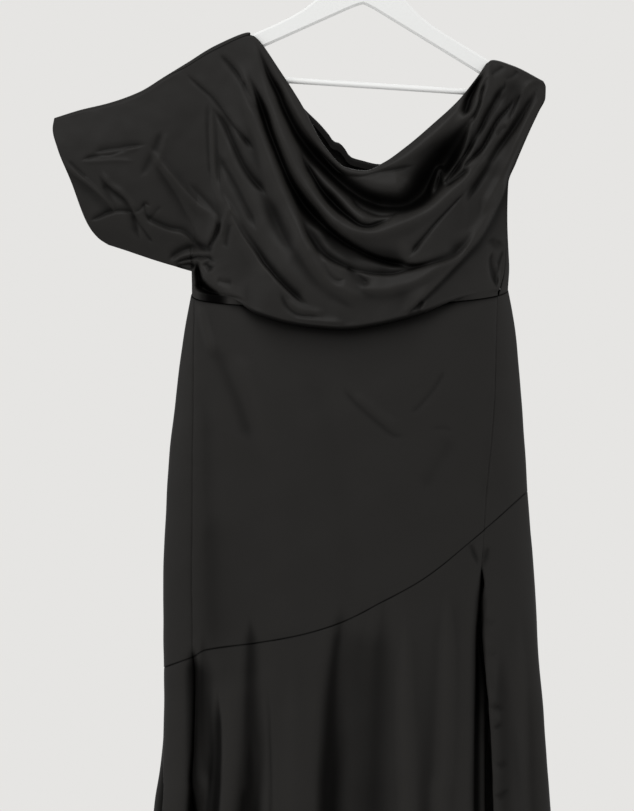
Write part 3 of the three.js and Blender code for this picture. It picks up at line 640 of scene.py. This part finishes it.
def run_on(points):
    """The points carried on past the hem along the flutes, if they reach the view's bottom."""
    x, y = points[-1][:2]
    if y < VIEW_BOTTOM:
        return points
    z = (VIEW_TOP - y) * VIEW_STEP
    across = ((x - VIEW_LEFT) * VIEW_STEP - left_edge(z)) / (right_edge(z) - left_edge(z))
    further = []
    for y in FURTHER_DOWN:
        z = (VIEW_TOP - y) * VIEW_STEP
        x = mix(left_edge(z), right_edge(z), across) / VIEW_STEP + VIEW_LEFT
        further.append((float(x), y, 1.0))
    return [*points, *further]


def curved(points, steps=6):
    """A smooth line through the points: millimetres across and up, and the fold's size."""
    x, y, size = np.array(points).T
    places = np.stack([(x - VIEW_LEFT) * VIEW_STEP, (VIEW_TOP - y) * VIEW_STEP, size], 1)
    ends = np.concatenate([[2 * places[0] - places[1]], places, [2 * places[-1] - places[-2]]])
    line = []
    for a, b, c, d in zip(ends, ends[1:], ends[2:], ends[3:]):
        for t in np.arange(steps) / steps:
            line.append(0.5 * (2 * b + (c - a) * t + (2 * a - 5 * b + 4 * c - d) * t ** 2
                               + (3 * b - a - 3 * c + d) * t ** 3))
    return np.array([*line, places[-1]])


def fold_height(folds, x, z):
    """How far the folds lift the cloth at the places x, z of the front view."""
    height = np.zeros_like(x)
    for out, left, right, points in folds:
        line = curved(run_on(points))
        reach = FOLD_REACH * max(left, right) * VIEW_STEP * line[:, 2].max()
        low, high = line[:, :2].min(0) - reach, line[:, :2].max(0) + reach
        near = (x > low[0]) & (x < high[0]) & (z > low[1]) & (z < high[1])
        if not near.any():
            continue
        px, pz = x[near], z[near]
        nearest = np.full(px.shape, np.inf)
        along = np.zeros(px.shape)
        side = np.zeros(px.shape)
        size = np.ones(px.shape)
        for i, (a, b) in enumerate(zip(line, line[1:])):
            d = b[:2] - a[:2]
            t = np.clip(((px - a[0]) * d[0] + (pz - a[1]) * d[1]) / (d @ d), 0, 1)
            away = np.hypot(px - a[0] - t * d[0], pz - a[1] - t * d[1])
            closer = away < nearest
            hand = (pz - a[1]) * d[0] - (px - a[0]) * d[1]
            nearest = np.where(closer, away, nearest)
            along = np.where(closer, (i + t) / (len(line) - 1), along)
            side = np.where(closer, hand, side)
            size = np.where(closer, mix(a[2], b[2], t), size)
        ends = smooth(0, FOLD_TAPER, along) * smooth(1, 1 - FOLD_TAPER, along)
        width = np.where(side > 0, left, right) * VIEW_STEP * size * mix(FOLD_END_WIDTH, 1, ends)
        height[near] += out * size * ends * np.exp(-(nearest / width) ** 2)
    return height


def ripple(x, z, seed, longest=75.0, shortest=16.0, waves=40):
    """Slight waves all over a cloth, about a millimetre high."""
    picked = np.random.default_rng(seed)
    total = np.zeros_like(x)
    for _ in range(waves):
        length = shortest * (longest / shortest) ** picked.random()
        way = picked.random() * 2 * math.pi
        phase = picked.random() * 2 * math.pi
        turn = (x * math.cos(way) + z * math.sin(way)) * 2 * math.pi / length
        total += (length / longest) ** WAVE_POWER * np.sin(turn + phase)
    return total * math.sqrt(2 / waves)


def hanging_over(drop):
    """How far the front is off the skirt, from 0 to 1, where it hangs so far below the seam."""
    return smooth(*HANGS_FROM, drop)


def lowest_edge(drop):
    """How far below the seam the front begins to turn under."""
    return np.maximum(drop - TURN_RADIUS, 0)


class Half:
    """The front or the back of the bodice."""

    def __init__(self, top, folds, sign, puff, sleeve_puff):
        self.top = {name: top.read("u", name) for name in ("x", "z", "fore", "turn", "start")}
        self.folds, self.sign = folds, sign
        self.puff, self.sleeve_puff = puff, sleeve_puff
        self.is_front = sign < 0
        ends = np.array([0.0, 1.0])
        self.upper = [self.top[name](ends) for name in ("x", "fore", "z")]
        self.lower = self.lower_edge(ends)
        last = (1, self.lower[0][1], self.lower[2][1], self.lower[1][1], self.lower[1][1])
        edge = Table("v x z fore hind", [*RIGHT_EDGE, last])
        outward = "fore" if self.is_front else "hind"
        self.cuff = [CUFF.read("v", name) for name in ("x", "fore", "z")]
        self.edge = [edge.read("v", name) for name in ("x", outward, "z")]

    def waist_angle(self, u):
        t = np.clip((u - SIDE_U) / (1 - SIDE_U), 0, 1)
        trim = SEAM_GAP / half_depth(WAIST_Z)
        left = SIDE_GAP / half_depth(WAIST_Z)
        right = front_angle(slit_front(WAIST_Z), WAIST_Z)
        if self.is_front:
            return mix(left, right - trim, t)
        return mix(2 * math.pi - left, right + trim, t)

    def lower_edge(self, u):
        """The lower edge: x, how far it is in front of or behind the middle, and z."""
        angle = self.waist_angle(u)
        z = waist_height(angle) + SEAM_GAP
        x, y = ring(angle, z)
        drop, above = 0 * x, 0
        if self.is_front:
            x = x + CORNER_LEAN * smooth(0.95, 1, u)
            drop = overhang(x)
            above = TURN_ABOVE * (1 - hanging_over(drop))
        fore = y * self.sign + BLOUSE * hanging_over(drop)
        t = np.clip((u - UNDERARM_U) / (SIDE_U - UNDERARM_U), 0, 1)
        under = [UNDERSIDE.read("u", "x")(u), SIDE_GAP, UNDERSIDE.read("u", "z")(u)]
        return [mix(a, b, t) for a, b in zip(under, (x, fore, z + above - lowest_edge(drop)))]

    def face(self, u, v):
        """The face at columns u and shares v of the way down: x, fore, z and its lift."""
        lower = self.lower_edge(u)
        near_cuff, near_edge = (1 - u) ** CUFF_POWER, u ** EDGE_POWER
        point = []
        for k, name in enumerate(("x", "fore", "z")):
            cuff = self.cuff[k](v) - mix(self.upper[k][0], self.lower[k][0], v)
            edge = self.edge[k](v) - mix(self.upper[k][1], self.lower[k][1], v)
            point.append(mix(self.top[name](u), lower[k], v) + near_cuff * cuff + near_edge * edge)
        across = smooth(0, PUFF_FROM, u) * smooth(1, PUFF_TO, u)
        body = mix(self.sleeve_puff, self.puff, smooth(*SLEEVE_TO_BODY, u))
        point[1] = point[1] + body * across * np.sin(math.pi * np.clip(v, 0, 1))
        moved = smooth(0, 0.05, v) * smooth(1, 0.982, v) * smooth(0, 0.03, u) * smooth(1, 0.98, u)
        lift = fold_height(self.folds, point[0], point[2])
        waves = RIPPLE * ripple(point[0], point[2], seed=3 + self.sign)
        point[1] = point[1] + moved * (lift + waves)
        return [*point, lift]

    def grid(self, columns, turn_rows, rows):
        """Columns of points: round the turn over the crest, then down the face."""
        u = np.asarray(columns)[:, None]
        turn, start = self.top["turn"](u), self.top["start"](u)
        quarter = turn * math.pi / 2
        first = start + (SEAM_GAP / 2 if self.is_front else 0)
        reach = np.maximum(quarter, first + TURN_SHORTEST)
        lower = self.lower_edge(u)
        tall = np.hypot(lower[0] - self.top["x"](u), lower[2] - self.top["z"](u))
        length = mix(first, reach, np.linspace(0, 1, turn_rows + 1)[None, :])
        angle = np.clip(length / turn, -math.pi / 2, math.pi / 2)
        past = np.maximum(abs(length) - quarter, 0)
        over = self.face(u + 0 * length, (turn * (1 - np.cos(angle)) + past) / tall)
        behind = self.top["fore"](u) + turn * (np.sin(angle) - 1)
        turning = over[1] + turn * (np.sin(angle) - 1)
        over[1] = np.where(length <= 0, behind, np.where(past == 0, turning, over[1]))
        begin = (turn + reach - quarter) / tall
        v = mix(begin, 1, np.linspace(0, 1, rows + 1)[None, 1:])
        down = self.face(u + 0 * v, v)
        x, fore, z, lift = (np.concatenate([a, b], 1) for a, b in zip(over, down))
        return np.stack([x, fore * self.sign, z], -1), lift


# The way the front turns under at the waist and climbs back to the seam: shares of the drop
# below the seam, millimetres above the seam, and millimetres in front of the skirt
TURN_UNDER = Table("step drop above front", [
    (0, 1, 5.0, 15.0),
    (0.1, 1, 1.2, 13.5),
    (0.2, 1, 0, 9.5),
    (0.3, 1, 1.4, 5.6),
    (0.5, 0.4, 2.5, 4.4),
    (0.7, 0, 5, 3.8),
    (0.85, 0, 6.2, 1.9),
    (1.0, 0, 0, 0),
])


def waist_turn(half, columns, last, rows):
    """The rows by which the front turns under, from the last row of its face to the seam."""
    u = np.asarray(columns)[:, None]
    t = np.linspace(0, 1, rows + 1)[None, 1:]
    angle = half.waist_angle(u)
    seam = waist_height(angle) + SEAM_GAP + TUCK_GAP
    x, y = ring(angle, seam)
    drop = overhang(x)
    over = hanging_over(drop)
    share, above, front = (TURN_UNDER.read("step", n)(t) for n in ("drop", "above", "front"))
    plain_y = mix(last[:, None, 1], y, t)
    plain_z = mix(last[:, None, 2], seam, t)
    lift = (last[:, None, 1] - (y - BLOUSE * over)) * smooth(0.4, 0, t)
    turned_y = y - front + lift
    turned_z = seam - share * drop + above
    points_x = mix(last[:, None, 0], x + 0 * t, smooth(0, 0.5, t))
    return np.stack([points_x, mix(plain_y, turned_y, over), mix(plain_z, turned_z, over)], -1)


def grid_faces(numbers):
    a, b = numbers[:-1, :-1].ravel(), numbers[:-1, 1:].ravel()
    c, d = numbers[1:, 1:].ravel(), numbers[1:, :-1].ravel()
    return np.stack([a, b, c, d], 1)


def numbered(points, first=0):
    """The numbers of a grid's points, row by row."""
    return first + np.arange(points.shape[0] * points.shape[1]).reshape(points.shape[:2])


def softened(values, times):
    """The grid of values with each one mixed with those around it, several times over."""
    for _ in range(times):
        for axis in (0, 1):
            length = values.shape[axis]
            before = np.take(values, np.maximum(np.arange(length) - 1, 0), axis)
            after = np.take(values, np.minimum(np.arange(length) + 1, length - 1), axis)
            values = (before + 2 * values + after) / 4
    return values


def fold_light(lift):
    """How light the cloth looks by its folds: 1 on the flat, less deep down in them."""
    dark = np.zeros_like(lift)
    for steps, start, over in HOLLOWS:
        around = softened(lift, steps) if steps else 0
        hollow = np.maximum(0, around - lift)
        dark += hollow * hollow / (over * (start + hollow))
    ridge = np.clip((lift - softened(lift, RIDGE_STEPS)) / RIDGE_RISE, 0, 1)
    return (1 + dark) ** -HOLLOW_POWER * (1 + RIDGE_LIGHT * ridge)


def spread(*stops):
    """Places between the stops, each stop being a place and the count of steps to it."""
    places = [stops[0][0]]
    for (start, _), (end, count) in zip(stops, stops[1:]):
        places.extend(start + (end - start) * np.arange(1, count + 1) / count)
    return np.array(places)


def node(tree, kind, inputs=None, **settings):
    made = tree.nodes.new(kind)
    for name, value in settings.items():
        setattr(made, name, value)
    for name, value in (inputs or {}).items():
        made.inputs[name].default_value = value
    return made


def join(tree, *pairs):
    """Joins one node's output to another's input, for each (node, output, node, input)."""
    for giver, given, taker, taken in pairs:
        tree.links.new(giver.outputs[given], taker.inputs[taken])


def new_material(name, inputs):
    """A material with its shader's inputs set, and a node that tells the place on it."""
    material = bpy.data.materials.new(name)
    material.use_nodes = True
    tree = material.node_tree
    shader = tree.nodes["Principled BSDF"]
    for key, value in inputs.items():
        shader.inputs[key].default_value = value
    return material, tree, shader, node(tree, "ShaderNodeTexCoord")


def noise_bump(tree, place, scale, detail, strength, distance):
    """An even roughness of the surface: a noise, and the bump that it makes."""
    noise = node(tree, "ShaderNodeTexNoise", {"Scale": scale, "Detail": detail})
    bump = node(tree, "ShaderNodeBump", {"Strength": strength, "Distance": distance})
    join(tree, (place, "Object", noise, "Vector"), (noise, "Fac", bump, "Height"))
    return bump


def satin_material():
    """Black satin: a dark body with painted fold shade, a broad sheen and a very fine uneven weave."""
    material, tree, shader, place = new_material(
        "black_satin", {"Roughness": 0.55, "Specular IOR Level": 0.19})
    soft = noise_bump(tree, place, 34, 3, 0.35, 0.0012)
    weave = noise_bump(tree, place, 900, 2, 0.2, 0.0002)
    shade = node(tree, "ShaderNodeAttribute", attribute_name="fold_shade")
    # painted shade: the satin's colour is multiplied by fold_shade, darker in hollows, seams and under
    # the blouse, lighter on ridges
    painted_shade_color = node(tree, "ShaderNodeMix", {"Factor": 1, "A": SATIN_COLOR},
               data_type="RGBA", blend_type="MULTIPLY")
    # painted shade on the gloss too: where the painted fold shade is dark, a dark metal takes away both
    # colour and reflection at once
    painted_gloss_shade = node(tree, "ShaderNodeMath", {0: 1}, operation="SUBTRACT", use_clamp=True)
    join(tree,
         (shade, "Color", painted_gloss_shade, 1),
         (painted_gloss_shade, "Value", shader, "Metallic"),
         (shade, "Color", painted_shade_color, "B"),
         (painted_shade_color, "Result", shader, "Base Color"),
         (soft, "Normal", weave, "Normal"),
         (weave, "Normal", shader, "Normal"))
    return material


def plain_material(name, color, roughness, metallic=0.0, bump=0.0002):
    material, tree, shader, place = new_material(
        name, {"Base Color": (*color, 1), "Roughness": roughness, "Metallic": metallic})
    uneven = noise_bump(tree, place, 120, 3, 0.15, bump)
    join(tree, (uneven, "Normal", shader, "Normal"))
    return material


SATIN = satin_material()
WHITE_PAINT = plain_material("white_paint", (0.985, 0.99, 0.975), 0.4)
WIRE_STEEL = plain_material("wire_steel", (0.62, 0.62, 0.63), 0.28, metallic=1.0, bump=0.00005)


def cloth_piece(name, points, faces, light, replaced):
    """A thin closed cloth that also keeps how light it looks at each point."""
    mesh = bpy.data.meshes.new(name)
    mesh.from_pydata((points / 1000).tolist(), [], faces.tolist())
    mesh.update()
    mesh.polygons.foreach_set("use_smooth", np.ones(len(faces), bool))
    shade = mesh.color_attributes.new(name="fold_shade", type="FLOAT_COLOR", domain="POINT")
    shade.data.foreach_set("color", np.repeat(light.ravel(), 4))
    piece = bpy.data.objects.new(name, mesh)
    bpy.context.scene.collection.objects.link(piece)
    mesh.materials.append(SATIN)
    wall = piece.modifiers.new("thickness", "SOLIDIFY")
    wall.thickness = CLOTH / 1000
    wall.offset = 0
    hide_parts(replaced)
    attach(piece, "root")
    return piece


def unit(vectors):
    return vectors / np.maximum(np.linalg.norm(vectors, axis=-1, keepdims=True), 1e-9)


def normals_of(points, side):
    """Unit vectors that point out of a skirt panel."""
    across = np.gradient(points, axis=0)
    down = np.gradient(points, axis=1)
    return unit(np.cross(down, across) * (1 if side == "front" else -1))


def skirt_grid(side, top, bottom, across, down):
    """Points of a skirt panel, from its left seam to its right one and from top to bottom."""
    s, t = np.asarray(across)[:, None], np.asarray(down)[None, :]
    angle = np.full((s.size, t.size), math.pi / 2 if side == "front" else 3 * math.pi / 2)
    for _ in range(GRID_ROUNDS):
        z = mix(top(angle), bottom(angle), t)
        trim = PANEL_TRIM / half_depth(z)
        left = front_angle(left_seam(z), z)
        if side == "front":
            start, end = left + trim, front_angle(slit_front(z), z) - trim
        else:
            start, end = left + 2 * math.pi - trim, front_angle(slit_back(z), z) + trim
        angle = mix(start, end, s)
    return skirt_points(angle, z)


def seam_light(away):
    """How light the cloth looks so far from a seam."""
    return 1 - SEAM_SHADE * np.exp(-(away / SEAM_REACH) ** 2)


def below_blouse(x, z):
    """How light the skirt looks in the soft shade below the edge of the blouse."""
    waist = waist_height(front_angle(x, WAIST_Z))
    below = np.maximum(0, waist - lowest_edge(overhang(x)) - z)
    reach = BLOUSE_REACH * smooth(0, 20, overhang(x)) + BLOUSE_LEAST
    return 1 - BLOUSE_SHADE * np.exp(-(below / reach) ** 1.3)


def with_turnings(points, normals, light, sides):
    """Adds the cloth turned in along the named edges: start, end, top and bottom."""
    for side, axis, end in (("end", 0, -1), ("start", 0, 0), ("bottom", 1, -1), ("top", 1, 0)):
        if side not in sides:
            continue
        inner = end + 2 if end == 0 else end - 2
        last, out = np.take(points, [end], axis), np.take(normals, [end], axis)
        way = unit(last - np.take(points, [inner], axis))
        extra = [last - out * (ALLOWANCE * share) - way * (TURN_BACK * math.sin(share * 3))
                 for share in TURN_SHARES]
        added = (extra, [out] * 3, [np.take(light, [end] * 3, axis) * TURNED_LIGHT])
        points, normals, light = (
            np.concatenate([*new[::-1], old] if end == 0 else [old, *new], axis)
            for old, new in zip((points, normals, light), added))
    return points, normals, light


def with_facing(points, light, across, out):
    """Adds the facing of the slit's front edge to its turning."""
    last = -1 - len(TURN_SHARES)
    edge = points[last:last + 1]
    z = edge[..., 2]
    open_here = mix(FACING_DIM, 1, smooth(*FACING_OPENS, z))
    share = smooth(*FACING_FITS, slit_back(z) - slit_front(z))[..., None]
    rows_above = points.shape[1] - across.shape[1]
    across, out = (np.concatenate([way[:, :1]] * rows_above + [way], 1) for way in (across, out))
    lines = [edge + across * side * share - out * mix(ALLOWANCE, inward, share)
             for side, inward, _ in SLIT_FACING]
    shades = [shade * open_here for _, _, shade in SLIT_FACING]
    return np.concatenate([points, *lines]), np.concatenate([light, *shades])


def seam_pucker(away, along, strength):
    """Small waves and a groove beside a seam, fading away from it."""
    groove = -GROOVE_DEPTH * np.exp(-(away / GROOVE_WIDTH) ** 2)
    uneven = PUCKER_DRIFT * np.sin(along / PUCKER_DRIFT_LENGTH)
    waves = np.sin(along / PUCKER_LENGTH + uneven) * np.exp(-away / PUCKER_REACH)
    return groove + strength * waves


def edge_distance(points, axis, end):
    """Distance in millimetres of each point from one edge of the grid, measured along it."""
    steps = np.linalg.norm(np.diff(points, axis=axis), axis=-1)
    total = np.concatenate([np.zeros_like(np.take(steps, [0], axis)), np.cumsum(steps, axis)], axis)
    return total if end == 0 else np.take(total, [-1], axis) - total


def skirt_panel(tier, side, edges, columns, rows, turned):
    """One panel of the skirt, from its upper edge to its lower one, with its edges turned in."""
    name = f"skirt_{side}_{tier}"
    points = skirt_grid(side, *edges, np.linspace(0, 1, columns + 1), seam_rows(rows))
    normals = normals_of(points, side)
    # across and outward at the slit's edge, before the folds
    facing_ways = unit(points[-1:] - points[-3:-2]), normals[-1:]
    x, y, z = np.moveaxis(points, -1, 0)
    height = fold_height(SKIRT_FRONT_FOLDS, x, z)
    if side == "back":
        behind = fold_height(SKIRT_BACK_FOLDS, x, z)
        height = smooth(0, WRAP, y) * behind + smooth(0, -WRAP, y) * height
    lift = SKIRT_SHADE[tier] * height - FLUTE_SHADE * flute_depth_at(points)
    light = fold_light(lift)
    for end in (0, -1):
        light = light * seam_light(edge_distance(points, 1, end))
    height = height + RIPPLE * ripple(x, z, seed=11, longest=140, shortest=40)
    for axis, end, along, seam in ((0, 0, z, "side"), (0, -1, z, "side"), (1, 0, x, "top")):
        height = height + seam_pucker(edge_distance(points, axis, end), along, PUCKER_HEIGHT[seam])
    if name == "skirt_back_lower":
        away = edge_distance(points, 0, -1)
        open_here = smooth(SLIT_TOP_Z, SLIT_TOP_Z - SLIT_ONSET, z)
        waves = ripple(2.2 * away, z, seed=5, longest=34, shortest=14, waves=24)
        height = height + SLIT_WAVE * open_here * waves * np.exp(-(away / SLIT_REACH) ** 2)
    if name == "skirt_front_upper":
        light = light * below_blouse(x, z)
    points = points + normals * height[..., None]
    points, normals, light = with_turnings(points, normals_of(points, side), light, turned)
    if name == "skirt_front_lower":
        points, light = with_facing(points, light, *facing_ways)
    faces = grid_faces(numbered(points))
    if side == "back":
        faces = faces[:, ::-1]
    return cloth_piece("satin_" + name, points.reshape(-1, 3), faces, light, name)


def bodice(name, half, columns, turn_rows, rows):
    """The front or the back of the bodice, the front with its turn under at the waist."""
    points, lift = half.grid(columns, turn_rows, rows)
    light = fold_light(lift)
    down = edge_distance(points, 1, 0)
    across = columns[:, None]
    numbers = numbered(points)
    faces = grid_faces(numbers)
    if half.is_front:
        sewn = smooth(*LEFT_SEWN, across) + smooth(*RIGHT_SEWN, across)
        light = light * mix(1, seam_light(down), sewn)
        waist = columns >= SIDE_U - 1e-6
        turned = waist_turn(half, columns[waist], points[waist, -1], UNDER_ROWS)
        over = hanging_over(overhang(points[waist, -1:, 0])) + 0 * turned[..., 0]
        under_light = mix(light[waist, -1:], UNDER_LIGHT, over)
        joined = np.concatenate([numbers[waist, -1:], numbered(turned, numbers.size)], 1)
        faces = np.concatenate([faces, grid_faces(joined)])
        flat = np.concatenate([points.reshape(-1, 3), turned.reshape(-1, 3)])
        light = np.concatenate([light.ravel(), under_light.ravel()])
    else:
        neck = smooth(*NECK_LEFT, across) * smooth(*NECK_RIGHT, across)
        light = light * (1 - NECK_SHADE * neck * np.exp(-(down / NECK_REACH) ** 2))
        faces, flat = faces[:, ::-1], points.reshape(-1, 3)
    return cloth_piece("satin_" + name, flat, faces, light, name)


def at_slant(offset):
    return lambda angle: slant(-np.cos(angle)) + offset


def at_hem(angle):
    return HEM_Z + 0 * angle


def seam_rows(count):
    """Rows down a panel, closer together beside its upper and its lower edge."""
    return spread((0, 0), (0.01, 6), (0.99, count), (1, 6))


FRONT = Half(FRONT_TOP, FRONT_FOLDS, -1, puff=12, sleeve_puff=4)
BACK = Half(BACK_TOP, BACK_FOLDS, 1, puff=10, sleeve_puff=3)
FRONT_COLUMNS = spread((0, 0), (UNDERARM_U, 76), (SIDE_U, 16), (0.32, 16), (0.35, 8),
                       (0.85, 124), (0.872, 6), (0.892, 6), (1, 30))
BACK_COLUMNS = spread((0, 0), (UNDERARM_U, 30), (SIDE_U, 8), (0.318, 8), (0.335, 8),
                      (0.36, 6), (0.86, 60), (0.885, 8), (1, 20))
UPPER = (waist_height, at_slant(SEAM_GAP))
LOWER = (at_slant(0), at_hem)
UPPER_TURNED = ("start", "end", "bottom")
LOWER_TURNED = ("start", "end", "top")
bodice_front = bodice("bodice_front", FRONT, FRONT_COLUMNS, turn_rows=12, rows=140)
bodice_back = bodice("bodice_back", BACK, BACK_COLUMNS, turn_rows=16, rows=84)
upper_front = skirt_panel("upper", "front", UPPER, columns=120, rows=118, turned=UPPER_TURNED)
upper_back = skirt_panel("upper", "back", UPPER, columns=170, rows=96, turned=UPPER_TURNED)
lower_front = skirt_panel("lower", "front", LOWER, columns=140, rows=170, turned=LOWER_TURNED)
lower_back = skirt_panel("lower", "back", LOWER, columns=210, rows=164, turned=LOWER_TURNED)

for name, material, slot in (
    ("hanger_arms", WHITE_PAINT, "hanger"),
    ("hanger_bar", WHITE_PAINT, "hanger"),
    ("hanger_hook", WIRE_STEEL, "hook"),
):
    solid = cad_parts[name]
    solid.data.materials.clear()
    solid.data.materials.append(material)


def placed(name, data, place):
    made = bpy.data.objects.new(name, data)
    made.location = place
    bpy.context.scene.collection.objects.link(made)
    return made


def floor_disc():
    """A pale floor just below the hem, outside the main view."""
    mesh = bpy.data.meshes.new("studio_floor")
    shape = bmesh.new()
    bmesh.ops.create_circle(shape, cap_ends=True, radius=1.45, segments=96)
    shape.to_mesh(mesh)
    shape.free()
    floor = placed("studio_floor", mesh, (-0.03, 0, (HEM_Z - 60) / 1000))
    mesh.materials.append(plain_material("floor_paint", (0.78, 0.775, 0.765), 0.8))


def surround():
    """A pale surround that the camera sees, and a dimmer one that lights."""
    world = bpy.data.worlds.new("studio")
    world.use_nodes = True
    tree = world.node_tree
    tree.nodes.clear()
    output = node(tree, "ShaderNodeOutputWorld")
    seen = node(tree, "ShaderNodeBackground", {"Color": (0.791, 0.783, 0.768, 1)})
    lit = node(tree, "ShaderNodeBackground", {"Color": (1, 1, 1, 1), "Strength": 0.5})
    path = node(tree, "ShaderNodeLightPath")
    choose = node(tree, "ShaderNodeMixShader")
    join(tree,
         (path, "Is Camera Ray", choose, "Fac"),
         (lit, "Background", choose, 1),
         (seen, "Background", choose, 2),
         (choose, "Shader", output, "Surface"))
    bpy.context.scene.world = world


def lamps():
    """Soft square lamps round the dress."""
    for name, place, target_z, width, power in (
        ("front_lamp", (-0.6, -2.8, 2.4), -0.5, 2.0, 58),
        ("left_lamp", (-2.8, -0.6, 0.3), -0.5, 1.6, 12),
        ("right_lamp", (2.8, -0.6, 0.3), -0.5, 1.6, 10),
        ("back_lamp", (0.4, 3.2, 1.2), -0.6, 1.8, 20),
    ):
        lamp = bpy.data.lights.new(name, "AREA")
        lamp.shape = "SQUARE"
        lamp.size = width
        lamp.energy = power
        held = placed(name, lamp, place)
        way = Vector((-0.03, 0, target_z)) - Vector(place)
        held.rotation_mode = "QUATERNION"
        held.rotation_quaternion = way.to_track_quat("-Z", "Y")


def camera():
    data = bpy.data.cameras.new("camera")
    data.sensor_width = 36
    data.lens = 177.6
    made = placed("camera", data, (-0.066, -5.0, -0.633))
    made.rotation_euler = (math.pi / 2, 0, 0)
    bpy.context.scene.camera = made


floor_disc()
surround()
lamps()
camera()
scene = bpy.context.scene
scene.view_settings.view_transform = "Standard"
scene.view_settings.look = "None"
